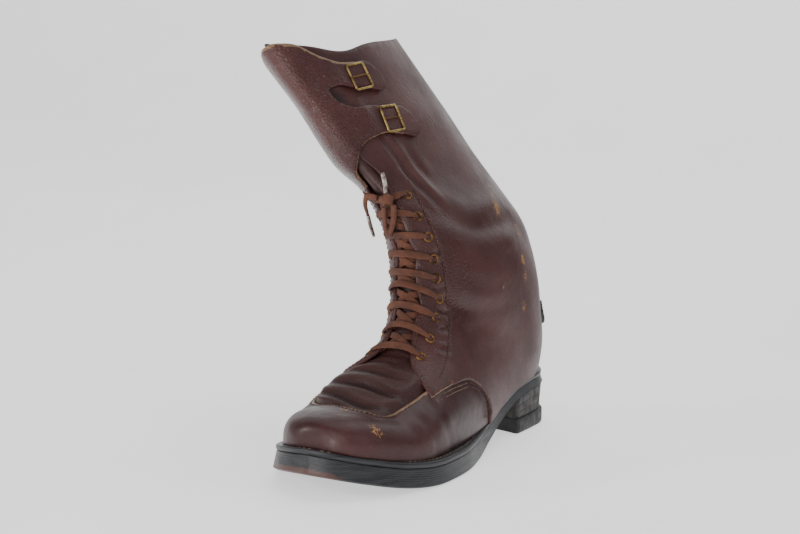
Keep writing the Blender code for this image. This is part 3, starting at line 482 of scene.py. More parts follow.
def plainGrainFinish(name, dark, light, rough, scale, bumpDepth):
    finish = Finish(name)
    colour = finish.mix(finish.patches((scale, 5.0, 0.6), evenShare), dark, light)
    roughness = finish.patches((scale * 2.3, 4.0), evenShare + rough)
    normal = finish.bump(finish.noise(scale * 5.0, 4.0, 0.6), 0.5, bumpDepth)
    finish.set(Base_Color=colour, Roughness=roughness, Normal=normal)
    return finish.material


cutEdgeLook = {
    "fibre": (420.0, 5.0, 0.65), "darkTan": (0.13, 0.075, 0.042), "paleTan": (0.30, 0.19, 0.105),
    "coloured": (0.040, 0.017, 0.014), "wornWeight": 0.5, "worn": (0.45, 1.05), "bump": (0.4, 0.0003),
    "roughness": 0.75,
}


def cutEdgeFinish(look):
    # the raw edge is tan where it is worn and still coloured where it is not
    finish = Finish("rawCutEdge")
    fibre = finish.noise(*look["fibre"])
    tan = finish.mix(finish.fit(fibre, *evenShare), look["darkTan"], look["paleTan"])
    worn = finish.worn("edgeRub", fibre, look["wornWeight"], look["worn"])
    colour = finish.mix(worn, look["coloured"], tan)
    finish.set(Base_Color=colour, Roughness=look["roughness"], Normal=finish.bump(fibre, *look["bump"]))
    return finish.material


soleEdgeLook = {
    "streak": (30.0, 6.0, 0.65, (1.0, 1.0, 14.0)), "streakShare": (0.35, 0.7),
    "dark": (0.008, 0.0086, 0.0098), "light": (0.027, 0.0285, 0.0325),
    "wornNoise": (110.0, 5.0, 0.65), "wornWeight": 0.55, "worn": (0.62, 0.95), "wornStrength": 0.9,
    "wornColour": (0.072, 0.031, 0.025),
    "chips": ((260.0, 6.0, 0.7), (0.68, 0.74, 0.0, 0.4)), "chipColour": (0.11, 0.10, 0.095),
    "roughness": (0.3, 0.75, 0.34, 0.56), "grain": (300.0, 5.0, 0.65, (1.0, 1.0, 4.0)),
    "bump": (0.35, 0.0005), "coat": 0.06, "coatRoughness": 0.35, "specular": 0.36,
}


def soleEdgeFinish(look):
    finish = Finish("blackedSoleEdge")
    streak = finish.noise(*look["streak"])
    colour = finish.mix(finish.fit(streak, *look["streakShare"]), look["dark"], look["light"])
    worn = finish.worn("worn", finish.noise(*look["wornNoise"]), look["wornWeight"], look["worn"])
    colour = finish.mix(finish.times(worn, look["wornStrength"]), colour, look["wornColour"])
    colour = finish.mix(finish.patches(*look["chips"]), colour, look["chipColour"])
    normal = finish.bump(finish.noise(*look["grain"]), *look["bump"])
    finish.set(Base_Color=colour, Roughness=finish.fit(streak, *look["roughness"]), Normal=normal,
               Coat_Weight=look["coat"], Coat_Roughness=look["coatRoughness"],
               Specular_IOR_Level=look["specular"])
    return finish.material


laceLook = {
    "strandAngles": (0.7, -0.7), "tint": ((90.0, 5.0, 0.6), (0.3, 0.72)),
    "dark": (0.066, 0.0195, 0.0092), "light": (0.132, 0.043, 0.0205),
    # the gap colour is painted shade between the strands
    "gap": (0.2, 0.9, 0.35, 0.0), "gapShadeColour": (0.045, 0.015, 0.008), "weaveBump": (0.5, 0.0003),
    "fuzz": (2200.0, 2.0), "fuzzBump": (0.25, 0.0002), "roughness": 0.86,
    "sheen": 0.04, "sheenRoughness": 0.5,
}


def laceFinish(look):
    finish = Finish("rustBrownLace")
    uv = finish.nodes.new("ShaderNodeUVMap")
    uv.uv_map = "weave"
    waves = []
    for angle in look["strandAngles"]:
        turn = finish.nodes.new("ShaderNodeMapping")
        turn.inputs["Rotation"].default_value = (0.0, 0.0, angle)
        finish.links.new(uv.outputs["UV"], turn.inputs["Vector"])
        wave = finish.nodes.new("ShaderNodeTexWave")
        wave.inputs["Scale"].default_value = 1.0
        finish.links.new(turn.outputs["Vector"], wave.inputs["Vector"])
        waves.append(wave.outputs["Fac"])
    weave = finish.math("MAXIMUM", *waves)
    colour = finish.mix(finish.patches(*look["tint"]), look["dark"], look["light"])
    # painted shade in the gaps between the woven strands
    colour = finish.mix(finish.fit(weave, *look["gap"]), colour, look["gapShadeColour"])
    normal = finish.bump(weave, *look["weaveBump"])
    normal = finish.bump(finish.noise(*look["fuzz"]), *look["fuzzBump"], normal)
    finish.set(Base_Color=colour, Roughness=look["roughness"], Normal=normal, Sheen_Weight=look["sheen"],
               Sheen_Roughness=look["sheenRoughness"])
    return finish.material


def metalFinish(name, dark, bright, rough):
    finish = Finish(name)
    colour = finish.mix(finish.patches((260.0, 6.0, 0.65), (0.38, 0.66)), bright, dark)
    roughness = finish.patches((420.0, 4.0), evenShare + rough)
    normal = finish.bump(finish.noise(700.0, 4.0, 0.6), 0.25, 0.0002)
    finish.set(Base_Color=colour, Roughness=roughness, Normal=normal, Metallic=1.0)
    return finish.material


# name, dark and light colour, range of roughness, scale of the grain, depth of its bump
plainGrains = {
    "lining": ("liningLeather", (0.16, 0.095, 0.055), (0.25, 0.16, 0.10), (0.6, 0.8), 45.0, 0.0004),
    "insole": ("insoleLeather", (0.12, 0.07, 0.04), (0.23, 0.145, 0.085), (0.55, 0.8), 30.0, 0.0005),
    "tread": ("treadLeather", (0.06, 0.038, 0.028), (0.17, 0.11, 0.075), (0.5, 0.8), 40.0, 0.0007),
    "heelStack": ("wornHeelStack", (0.016, 0.0145, 0.014), (0.050, 0.043, 0.040), (0.55, 0.8), 95.0,
                  0.0012),
    "heel": ("heelRubber", (0.012, 0.012, 0.013), (0.04, 0.04, 0.042), (0.5, 0.75), 60.0, 0.0006),
    "thread": ("waxedThread", (0.030, 0.014, 0.010), (0.085, 0.046, 0.030), (0.6, 0.8), 60.0, 0.0002),
    "tanThread": ("tanThread", (0.045, 0.022, 0.015), (0.23, 0.145, 0.08), (0.6, 0.8), 70.0, 0.0002),
    "weltThread": ("weltThread", (0.035, 0.029, 0.024), (0.20, 0.16, 0.11), (0.6, 0.8), 60.0, 0.0002),
}
# name, tarnished and bright colour, range of roughness
metals = {
    "brass": ("agedBrass", (0.12, 0.07, 0.026), (0.44, 0.32, 0.12), (0.26, 0.45)),
    "eyeletBrass": ("eyeletBrass", (0.05, 0.024, 0.012), (0.22, 0.115, 0.045), (0.34, 0.58)),
    "tip": ("laceTipMetal", (0.10, 0.055, 0.04), (0.52, 0.47, 0.43), (0.35, 0.6)),
}
looks = {
    "leg": leatherFinish("oxbloodLegLeather", leatherLooks["leg"]),
    "vamp": leatherFinish("oxbloodVampLeather", leatherLooks["vamp"]),
    "tongue": leatherFinish("softTongueLeather", leatherLooks["tongue"]),
    "cutEdge": cutEdgeFinish(cutEdgeLook), "soleEdge": soleEdgeFinish(soleEdgeLook),
    "lace": laceFinish(laceLook),
}
looks.update({part: plainGrainFinish(*values) for part, values in plainGrains.items()})
looks.update({part: metalFinish(*values) for part, values in metals.items()})
print("finishes made:", len(looks))

# camera and light

cameraView = {"eye": (472.7, -940.1, 260.1), "target": (-15.3, 35.3, 119.1), "roll": 2.58, "lens": 77.1,
              "near": 0.05}


def makeCamera(view):
    bpy.ops.object.camera_add()
    camera = bpy.context.object
    eye = Vector(view["eye"]) * mm
    camera.location = eye
    aim = (Vector(view["target"]) * mm - eye).to_track_quat("-Z", "Y").to_matrix()
    camera.rotation_euler = (aim @ Matrix.Rotation(math.radians(view["roll"]), 3, "Z")).to_euler()
    camera.data.lens = view["lens"]
    camera.data.clip_start = view["near"]
    bpy.context.scene.camera = camera


studio = {
    "paleColour": (0.82, 0.82, 0.83), "mottled": 0.94, "cloth": (9.0, 5.0, 0.55), "roughness": 0.85,
    "crumple": (22.0, 4.0), "crumpleBump": (0.2, 0.002), "glow": 0.8,
    "shadeAcross": (0.0, 0.45), "shadeAlong": (0.35, 1.1), "shadeHeight": (0.75, 1.15),
    "shadeColour": (0.1, 0.1, 0.105),
    "sweep": {"front": -3.0, "bend": 1.25, "radius": 0.6, "height": 2.2, "halfWidth": 3.0,
              "steps": 25, "sunk": 0.4},
    "lamps": {
        "key": {"place": (-1.3, -1.15, 0.62), "size": 0.3, "power": 11.0, "colour": (1.0, 0.98, 0.95)},
        "glint": {"place": (-0.06, -1.2, 0.045), "size": 0.06, "power": 5.0, "colour": (1.0, 0.98, 0.96)},
        "front": {"place": (0.5, -1.8, 1.0), "size": 1.3, "power": 13.0, "colour": (1.0, 0.99, 0.98)},
        "side": {"place": (1.6, -0.3, 1.0), "size": 0.9, "power": 4.0, "colour": (0.96, 0.98, 1.0)},
        "top": {"place": (0.0, 0.55, 1.7), "size": 1.5, "power": 12.0, "colour": (1.0, 1.0, 1.0)},
    },
    "lampAim": (0.0, 0.02, 0.1),
    "world": (0.26, 0.26, 0.265),
}


def makeStudio(settings):
    sweep = settings["sweep"]
    angles = np.linspace(0.0, math.pi / 2, sweep["steps"])
    profile = [(sweep["front"], 0.0)]
    bend, radius = sweep["bend"], sweep["radius"]
    profile += [(bend + radius * math.sin(a), radius * (1 - math.cos(a))) for a in angles]
    profile.append((profile[-1][0], sweep["height"]))
    wide = sweep["halfWidth"] / mm
    points = [(side * wide, along / mm, height / mm - sweep["sunk"])
              for along, height in profile for side in (-1, 1)]
    faces = [(2 * i, 2 * i + 1, 2 * i + 3, 2 * i + 2) for i in range(len(profile) - 1)]
    floor = addMesh("studioSweep", np.array(points), faces)
    choose(floor)
    bpy.ops.object.shade_smooth()
    finish = Finish("paleSweep")
    pale = settings["paleColour"]
    colour = finish.mix(finish.patches(settings["cloth"], evenShare), pale,
                        tuple(settings["mottled"] * c for c in pale))
    # the backdrop glows, but past the right of the picture it gets painted shade, darker and without glow, so
    # the leather there mirrors no pale wall
    shade = finish.times(finish.fit(finish.axis("X"), *settings["shadeAcross"]),
                         finish.fit(finish.axis("Y"), *settings["shadeAlong"]))
    shade = finish.times(shade, finish.fit(finish.axis("Z"), *settings["shadeHeight"], 1.0, 0.0))
    colour = finish.mix(shade, colour, settings["shadeColour"])
    glow = finish.times(finish.minus(1.0, shade), settings["glow"])
    normal = finish.bump(finish.noise(*settings["crumple"]), *settings["crumpleBump"])
    finish.set(Base_Color=colour, Roughness=settings["roughness"], Normal=normal,
               Emission_Color=(1.0, 1.0, 1.0, 1.0), Emission_Strength=glow)
    floor.data.materials.append(finish.material)
    for name, lamp in settings["lamps"].items():
        bpy.ops.object.light_add(type="AREA", location=lamp["place"])
        light = bpy.context.object
        light.name = name + "Light"
        light.data.size = lamp["size"]
        light.data.energy = lamp["power"]
        light.data.color = lamp["colour"]
        aim = Vector(settings["lampAim"]) - light.location
        light.rotation_euler = aim.to_track_quat("-Z", "Y").to_euler()
    world = bpy.context.scene.world or bpy.data.worlds.new("studioWorld")
    bpy.context.scene.world = world
    world.use_nodes = True
    world.node_tree.nodes["Background"].inputs["Color"].default_value = (*settings["world"], 1.0)
    world.node_tree.nodes["Background"].inputs["Strength"].default_value = 1.0


makeCamera(cameraView)
makeStudio(studio)
print("camera and light placed")

# leather cutting

upperCut = {
    "tuck": -1.2,  # the lasted edge goes a little below the top of the welt
    "legOuterLift": 1.6, "legWall": 2.4, "flapLift": 3.4, "vampWall": 1.8,
    "flapRiseTurns": (1.5, 1.92), "flapRiseSections": (16.9, 18.2),
    "edgeStep": 1.7, "roundOver": 0.55, "rimDrop": 0.44, "rimMiddle": 0.45, "rimBulge": 0.18,
    "rubWidth": 1.2, "legUneven": (34.0, 0.45), "vampUneven": (30.0, 0.18),  # size and depth
    # distance round from the front line, section
    "outerThroat": ((0.0, 4.35), (11.0, 4.1), (19.0, 4.25), (23.8, 5.0), (26.2, 5.65), (29.0, 6.3),
                    (31.5, 7.0), (36.0, 8.5)),
    "innerThroat": ((0.0, 4.35), (12.7, 4.75), (25.0, 5.12), (34.0, 5.6), (37.0, 6.4), (36.5, 7.5),
                    (36.0, 8.5)),
    "vampRear": ((36.0, 8.5), (46.0, 9.5), (60.0, 10.4), (76.0, 10.6), (92.0, 10.55), (101.0, 10.4)),
    "quarterFront": ((37.8, 7.1), (40.5, 8.0), (46.0, 9.0), (57.0, 9.8), (71.0, 10.1), (88.0, 10.1),
                     (97.0, 9.9)),
    "innerQuarterFront": ((32.0, 7.7), (37.5, 8.1), (46.0, 9.0), (57.0, 9.8), (71.0, 10.1), (88.0, 10.1),
                          (97.0, 9.9)),
    "outerFacing": ((37.8, 7.1), (26.0, 7.45), (16.0, 8.0), (10.5, 8.8), (8.7, 9.4), (8.4, 10.3),
                    (11.2, 11.4), (8.4, 12.0), (6.4, 13.0), (6.4, 13.8), (4.2, 14.3), (2.6, 15.2),
                    (5.0, 16.3), (8.5, 17.2), (10.5, 17.7), (7.0, 18.15), (1.0, 18.9), (-3.0, 19.8),
                    (-3.5, 20.8), (-3.0, 22.0)),
    "innerFacing": ((32.0, 7.7), (24.0, 7.72), (16.0, 8.1), (9.8, 8.8), (7.4, 10.0), (5.0, 11.3),
                    (9.4, 12.3), (6.6, 13.1), (6.2, 13.8), (9.5, 14.6), (14.0, 15.5), (15.0, 16.1),
                    (12.5, 16.65), (9.0, 17.0)),
    "flapLower": ((-9.0, 17.0), (-4.5, 17.45), (2.0, 17.9), (8.4, 18.38), (17.0, 18.75), (25.5, 18.95),
                  (38.0, 19.17), (54.0, 19.2)),
    "lowerTab": ((54.0, 19.2), (66.0, 19.2), (71.0, 19.4), (71.0, 19.85), (66.0, 20.05), (54.0, 20.05)),
    "notch": ((54.0, 20.05), (38.0, 20.05), (22.0, 19.95), (15.5, 20.15), (15.5, 20.45), (22.0, 20.62),
              (38.0, 20.6), (48.0, 20.6)),
    "upperTab": ((48.0, 20.6), (60.0, 20.6), (65.0, 20.8), (65.0, 21.2), (60.0, 21.4), (48.0, 21.4)),
    "flapTop": ((48.0, 21.4), (36.0, 21.4), (26.0, 21.55), (14.0, 21.95), (5.0, 22.0)),
    "rimDip": (0.22, 0.3, 0.13), "rimSteps": 300, "rimCorner": 50,
    "innerRimDrop": 0.55, "innerRimTurns": (0.84, 1.06, 1.86, 2.02),
}


flatScale = np.array([150.0, 15.0])  # turns and sections laid out flat
# about how long a section is, to space the steps along a line
sectionSize = {"cut": 20.0, "crease": 14.0}
stepsPerStop = 14
# how a crease ends, where its ridges lie and how wide they are
creaseShape = {"taper": 0.6, "ridgePlace": 2.1, "ridgeWidth": 1.1}
heelSection = 14.0
featherGrid = {"columns": 481, "sections": 1121, "overlap": 0.01}


def cutLine(table, sign=1):
    table = np.array(table, float)
    knots = runLength(table * (1.0, sectionSize["cut"]))
    curve = smoothThrough(knots, table, np.linspace(0, knots[-1], stepsPerStop * len(table)))
    return np.column_stack([toTurn(curve[:, 0] * sign, curve[:, 1]), curve[:, 1]])


def shifted(line, turns):
    return np.column_stack([line[:, 0] + turns, line[:, 1]])


def featherLine(side):
    # where the upper meets the top of the welt, from the toe to the back of the heel
    fractions = np.linspace(0.0, 1.0, featherGrid["columns"]) * side
    sections = np.linspace(0.0, heelSection, featherGrid["sections"])
    points = onForm(fractions[None, :], sections[:, None], 0.0)
    above = points[..., 2] - weltTop(bootForm["originStation"] - points[..., 1]) - upperCut["tuck"]
    line = []
    for heights, section in zip(above, sections):
        under = np.nonzero(heights < 0)[0]
        if len(under) and under[0] > 0:
            i = under[0]
            share = heights[i - 1] / (heights[i - 1] - heights[i])
            line.append((fractions[i - 1] + share * (fractions[i] - fractions[i - 1]), section))
    line = np.array(line)
    return np.vstack([[0.0, line[0, 1]], line, [float(side), line[-1, 1] + featherGrid["overlap"]]])


outerFeather = featherLine(1)
innerFeather = featherLine(-1)


def partOfLine(line, first, last):
    picked = line[(line[:, 1] >= min(first, last)) & (line[:, 1] <= max(first, last))]
    return picked if first < last else picked[::-1]


def spaced(line, step):
    run = runLength(onForm(*line.T, 0.0))
    at = np.linspace(0, run[-1], max(2, int(round(run[-1] / step)) + 1))
    return np.column_stack([np.interp(at, run, line[:, i]) for i in range(2)])


def movedInside(line, distance, closed, leftHand):
    # a line on the leather moved sideways by a distance on the surface
    turn, section = line.T
    points = onForm(turn, section, 0.0)
    nudge, climb = 0.002, 0.02
    around = (onForm(turn + nudge, section, 0.0) - onForm(turn - nudge, section, 0.0)) / (2 * nudge)
    upward = (onForm(turn, section + climb, 0.0) - onForm(turn, section - climb, 0.0)) / (2 * climb)
    # the form ends at the rim, so half of that step is missing
    upward[section > lastSection - 0.03] *= 2.0
    if closed:
        tangent = np.roll(points, -1, axis=0) - np.roll(points, 1, axis=0)
    else:
        tangent = np.gradient(points, axis=0)
    aside = np.cross(normalOn(turn, section), tangent) * (1.0 if leftHand else -1.0)
    aside /= np.maximum(np.linalg.norm(aside, axis=1, keepdims=True), 1e-9)
    aa, ab, bb = (around * around).sum(1), (around * upward).sum(1), (upward * upward).sum(1)
    ca, cb = (aside * around).sum(1), (aside * upward).sum(1)
    det = np.maximum(aa * bb - ab * ab, 1e-6)
    return line + distance * np.column_stack([(ca * bb - cb * ab) / det, (cb * aa - ca * ab) / det])


def creaseField(points, creases):
    # soft troughs with a low ridge on each side, tapered at both ends, with painted shade in the troughs and
    # a paler tone on the ridges that is painted highlight and dust
    lift, dark, pale = np.zeros((3, len(points)))
    steps, ending = 60, creaseShape["taper"]
    place, spread = creaseShape["ridgePlace"], creaseShape["ridgeWidth"]
    for depth, width, creaseShade, ridgeHighlightAndDust, height, path in creases:
        path = np.array(path, float)
        knots = runLength(path * (1.0, sectionSize["crease"]))
        curve = smoothThrough(knots, path, np.linspace(0, knots[-1], steps))
        line = onForm(toTurn(*curve.T), curve[:, 1], upperCut["legOuterLift"])
        distance, which = nearest(points, line)
        taper = np.sin(np.pi * np.clip((which + 0.5) / steps, 0, 1)) ** ending
        trough = np.exp(-(distance / width) ** 2) * taper
        ridge = np.exp(-((distance - place * width) / (spread * width)) ** 2) * taper
        lift += -depth * trough + depth * height * ridge
        dark += trough * creaseShade
        pale += ridge * ridgeHighlightAndDust
    return lift, np.clip(dark, 0, 1), np.clip(pale, 0, 1)


def scuffField(points, scuffs):
    share = np.zeros(len(points))
    for roundDistance, section, radius, strength in scuffs:
        middle = onForm(toTurn(roundDistance, section), section, upperCut["legOuterLift"])
        distance = np.linalg.norm(points - middle, axis=1)
        share = np.maximum(share, strength * np.exp(-(distance / radius) ** 2))
    return share


def wander(points, size, depth):
    # slow unevenness of worn leather, from a few crossed waves
    p = points / size
    return depth * (np.sin(p[:, 0] * 1.3 + 1.7 * np.sin(p[:, 2] * 0.9 + 0.4))
                    * np.sin(p[:, 1] * 1.1 + 0.8)
                    + 0.6 * np.sin(p[:, 2] * 1.9 + p[:, 1] * 0.7 + 1.9 * np.sin(p[:, 0] * 0.8)))


def surfaceShift(points, folds, unevenness):
    fold, _, _ = creaseField(points, folds)
    return fold + wander(points, *unevenness)


def nowhere(turn, section):
    return 0.0 * turn


def cutLeather(name, edges, rawEdges, liftOf, wall, columns, sections, creases, scuffs, unevenness,
               pebbleOf=nowhere, shadeOf=nowhere):
    pieces = [spaced(edge, upperCut["edgeStep"])[:-1] for edge in edges]
    outline = np.vstack(pieces)
    raw = np.concatenate([np.full(len(p), r) for p, r in zip(pieces, rawEdges)])
    x, y = (outline * flatScale).T
    leftHand = np.sum(x * np.roll(y, -1) - y * np.roll(x, -1)) > 0
    rounded = movedInside(outline, upperCut["roundOver"], True, leftHand)
    # a grid of points that keeps clear of the outline is meshed with it, flat
    grid = np.array([(c, s) for s in sections for c in columns])
    gap, _ = nearest(grid * flatScale, outline * flatScale)
    clear = 1.2
    stacked = np.vstack([outline, rounded, grid[gap > clear]])
    count = len(outline)
    made = delaunay_2d_cdt([Vector(p) for p in stacked * flatScale], [], [list(range(count))], 1, 1e-6)
    places = np.array([tuple(p) for p in made[0]]) / flatScale
    faces = np.array([tuple(f) for f in made[2]])
    found = {source: i for i, sources in enumerate(made[3]) for source in sources}
    used = np.unique(faces)
    renumber = np.full(len(places), -1)
    renumber[used] = np.arange(len(used))
    places, faces = places[used], renumber[faces]
    rim = np.array([renumber[found[i]] for i in range(count)])
    # both sides of the leather, and a row of points round its cut edge
    lift = liftOf(*places.T)
    base = onForm(*places.T, lift)
    fold, dark, pale = creaseField(base, creases)
    # painted shadows are added to the painted crease shade
    dark = np.maximum(dark, shadeOf(*places.T))
    raised = lift + fold + wander(base, *unevenness)
    rimDrop = np.zeros(len(places))
    rimDrop[rim] = upperCut["rimDrop"]
    outer = onForm(*places.T, raised - rimDrop)
    inner = onForm(*places.T, raised - wall)
    outward = outer[rim] - onForm(*rounded.T, lift[rim] - rimDrop[rim])
    outward /= np.maximum(np.linalg.norm(outward, axis=1, keepdims=True), 1e-9)
    middle = upperCut["rimMiddle"]
    side = outer[rim] * middle + inner[rim] * (1.0 - middle) + outward * upperCut["rimBulge"]
    n = len(places)
    rimFaces = []
    for i in range(count):
        j = (i + 1) % count
        rimFaces.append((rim[i], rim[j], 2 * n + j, 2 * n + i))
        rimFaces.append((2 * n + i, 2 * n + j, n + rim[j], n + rim[i]))
    allFaces = [tuple(f) for f in faces] + [tuple(f[::-1] + n) for f in faces] + rimFaces
    thing = addMesh(name, np.vstack([outer, inner, side]), allFaces)
    slots = np.full(len(thing.data.polygons), 2, np.int32)
    slots[:len(faces)] = 0
    slots[len(faces):2 * len(faces)] = 1
    thing.data.polygons.foreach_set("material_index", slots)
    toEdge, which = nearest(base, onForm(*outline.T, liftOf(*outline.T)))
    # the crease share holds painted shade, the ridge share painted highlight with dust
    shares = {"crease": dark, "ridge": pale,
              "edgeRub": raw[which] * np.exp(-(toEdge / upperCut["rubWidth"]) ** 2),
              "scuff": scuffField(base, scuffs), "pebble": pebbleOf(*places.T)}
    for label, values in shares.items():
        storeShare(thing, label, np.concatenate([values, values * (label == "edgeRub"), values[rim]]))
    closeAndSmooth(thing)
    return thing


def legLift(turn, section):
    rise = smoothStep(*upperCut["flapRiseTurns"], turn)
    rise = rise * smoothStep(*upperCut["flapRiseSections"], section)
    return upperCut["legOuterLift"] + upperCut["flapLift"] * rise


def rimSection(turn):
    dip, place, spread = upperCut["rimDip"]
    back, fullBack, fullFront, front = upperCut["innerRimTurns"]
    innerDrop = upperCut["innerRimDrop"] * smoothStep(back, fullBack, turn)
    innerDrop = innerDrop * smoothStep(front, fullFront, turn)
    return lastSection - innerDrop - dip * math.exp(-((turn - place) / spread) ** 2)


def legEdges():
    front = cutLine(upperCut["quarterFront"])
    innerFront = shifted(cutLine(upperCut["innerQuarterFront"], -1), 2.0)
    outerLow = partOfLine(outerFeather, front[-1, 1], heelSection)
    innerLow = shifted(partOfLine(innerFeather, innerFront[-1, 1], heelSection), 2.0)
    front[-1] = outerLow[0]
    innerFront[-1] = innerLow[0]
    innerFacing = shifted(cutLine(upperCut["innerFacing"], -1), 2.0)
    outerFacing = cutLine(upperCut["outerFacing"])
    innerFacing[0] = innerFront[0]
    rimTurns = np.linspace(2.0 + toTurn(*upperCut["flapTop"][-1]), outerFacing[-1, 0],
                           upperCut["rimSteps"])
    rim = np.array([(t, rimSection(t)) for t in rimTurns])
    flapParts = ("flapLower", "lowerTab", "notch", "upperTab", "flapTop")
    flap = [shifted(cutLine(upperCut[part]), 2.0) for part in flapParts]
    flap[0][0] = innerFacing[-1]
    flap[-1][-1] = rim[0]
    outerFacing[-1] = rim[-1]
    outerFacing[0] = front[0]
    corner, seamEnd = upperCut["rimCorner"], len(front) // 3
    edges = [front[:seamEnd], front[seamEnd - 1:], outerLow, innerLow[::-1], innerFront[::-1],
             innerFacing] + flap
    edges += [rim[:corner], rim[corner - 1:], outerFacing[::-1]]
    return edges


# depth, width, painted shade in the trough, paleness of the ridges (painted highlight and dust), height of
# the ridges, then stops: distance round and section
legFolds = (
    # the drape under the flap, and the break where the slack leg folds over the ankle
    (1.7, 3.0, 0.4, 0.35, 0.7, ((34.0, 19.2), (36.5, 18.5), (34.8, 17.5), (36.0, 16.9), (40.5, 16.4))),
    (0.8, 3.5, 0.15, 0.2, 0.45, ((50.0, 18.9), (49.0, 18.2), (52.0, 17.6))),
    (2.6, 7.0, 0.3, 0.2, 0.55, ((20.0, 16.0), (42.0, 16.1), (62.0, 15.9), (88.0, 16.2), (110.0, 16.6),
                                (135.0, 17.0))),
    (1.4, 7.0, 0.2, 0.08, 0.45, ((34.0, 15.2), (60.0, 15.0), (92.0, 15.2), (112.0, 15.0))),
    (0.8, 5.0, 0.18, 0.15, 0.6, ((33.0, 12.1), (61.0, 12.4), (97.0, 13.2))),
    (0.5, 4.5, 0.1, 0.12, 0.6, ((46.0, 11.2), (70.0, 12.0), (96.0, 12.7))),
    # short creases beside the eyelets
    (1.3, 1.8, 0.35, 0.6, 0.7, ((22.5, 11.55), (26.0, 11.5), (33.0, 11.6))),
    (1.2, 1.7, 0.35, 0.6, 0.7, ((23.0, 10.5), (26.0, 10.62), (32.0, 10.9))),
    (0.9, 1.6, 0.25, 0.4, 0.7, ((24.0, 9.6), (28.0, 9.72), (35.0, 10.0))),
    (1.0, 1.6, 0.3, 0.5, 0.8, ((17.5, 13.95), (20.0, 14.05), (24.0, 14.3))),
    (1.0, 1.6, 0.3, 0.5, 0.8, ((19.0, 12.45), (22.0, 12.4), (27.0, 12.7))),
    # edge of the stay that backs the eyelets
    (0.5, 1.0, 0.5, 0.35, 0.5, ((24.0, 18.5), (29.0, 18.0), (25.5, 17.2), (21.5, 16.2), (22.0, 14.8),
                                (25.5, 13.6), (29.0, 12.6), (32.5, 11.6), (34.0, 10.2), (34.5, 9.0),
                                (35.0, 8.0))),
    (0.9, 4.0, 0.25, 0.2, 0.45, ((26.0, 20.4), (21.5, 19.7), (23.0, 19.1))),
    # hollow beside the flap's front fold
    (1.3, 6.0, 0.0, 0.0, 0.7, ((13.0, 18.3), (13.0, 19.5), (13.0, 20.7), (13.5, 21.9))),
    # the inner side folds where the leg leans over
    (3.0, 6.5, 0.35, 0.2, 0.45, ((-40.0, 16.6), (-70.0, 16.2), (-100.0, 16.3), (-130.0, 16.8))),
    (2.0, 5.0, 0.3, 0.15, 0.45, ((-50.0, 15.2), (-80.0, 14.9), (-115.0, 15.3))),
    (1.4, 7.0, 0.15, 0.1, 0.45, ((-55.0, 13.0), (-90.0, 12.6), (-120.0, 13.0))),
    (1.0, 5.0, 0.15, 0.1, 0.45, ((-45.0, 11.4), (-70.0, 11.0), (-95.0, 11.0))),
)
# distance round, section, radius and strength of each scuff
legScuffs = (
    (130.0, 18.4, 5.0, 0.66), (110.5, 17.06, 9.0, 0.74), (117.3, 17.5, 5.0, 0.68),
    (124.7, 15.31, 6.0, 0.78), (132.4, 16.56, 5.0, 0.66), (129.2, 16.3, 5.0, 0.66),
    (125.4, 14.69, 6.0, 0.68), (121.8, 13.56, 6.0, 0.68), (90.0, 13.88, 4.0, 0.55),
    (128.0, 17.9, 6.0, 0.62), (40.0, 7.6, 6.0, 0.5), (44.0, 8.7, 7.0, 0.5), (70.0, 9.95, 7.0, 0.45),
    (121.0, 10.4, 5.0, 0.6), (112.0, 10.9, 4.0, 0.58),
)


legGrain = {"flapTurns": (1.35, 1.6), "flapEnd": (2.26, 2.08), "flapSections": (15.5, 17.5),
            "stay": 0.45, "stayTurns": (0.27, 0.2), "staySections": (17.0, 16.0),
            "top": 0.14, "topSections": (15.0, 18.0), "least": 0.06}


def legPebble(turn, section):
    # the flap keeps its coarse grain, the ankle is worn smooth
    grain = legGrain
    flap = smoothStep(*grain["flapTurns"], turn) * smoothStep(*grain["flapEnd"], turn)
    flap = flap * smoothStep(*grain["flapSections"], section)
    stay = grain["stay"] * smoothStep(*grain["stayTurns"], turn)
    stay = stay * smoothStep(*grain["staySections"], section)
    top = grain["top"] * smoothStep(*grain["topSections"], section)
    return np.maximum(np.maximum(flap, stay), top) + grain["least"]


# turn on the leather (0 the outer layer, 2 the flap), distance round, section,
# half length, half height, strength of each painted shadow
legPaintedShadows = ((0.0, 20.0, 20.28, 7.0, 0.3, 0.95), (2.0, 38.5, 19.6, 5.0, 0.4, 0.75),
             (2.0, 36.0, 21.0, 4.0, 0.3, 0.35), (0.0, 8.0, 17.7, 8.0, 0.6, 0.5))


def legPaintedShadow(turn, section):
    # painted shadow beside the buckles, under the flap's edge and in the notch where the straps part
    share = 0.0 * turn
    for layer, roundDistance, place, halfLength, halfHeight, strength in legPaintedShadows:
        along = (turn - layer - toTurn(roundDistance, place)) * girthAt(place, 1) / halfLength
        share = np.maximum(share, strength * np.exp(-(along**2) - ((section - place) / halfHeight) ** 2))
    return share


legMesh = {
    "columns": 267, "columnsPerTurn": 108.0,
    "sections": ((7.5, 9.0, 0.12), (9.0, 14.0, 0.085), (14.0, 21.95, 0.13)),
    # how much tan each cut edge shows, in the order of legEdges
    "rawEdges": (1.0, 0.0, 0.0, 0.0, 0.6, 0.45, 0.8, 0.1, 0.1, 0.1, 1.8, 1.6, 0.45, 0.5),
}


def meshSections(spans):
    return np.concatenate([np.arange(*span) for span in spans])


def makeLeg(settings):
    columns = np.arange(1, settings["columns"] + 1) / settings["columnsPerTurn"]
    sections = meshSections(settings["sections"])
    leg = cutLeather("legLeather", legEdges(), settings["rawEdges"], legLift, upperCut["legWall"],
                     columns, sections, legFolds, legScuffs, upperCut["legUneven"], legPebble, legPaintedShadow)
    settle(leg, (looks["leg"], looks["lining"], looks["cutEdge"]), "oxblood_leather", "upper")


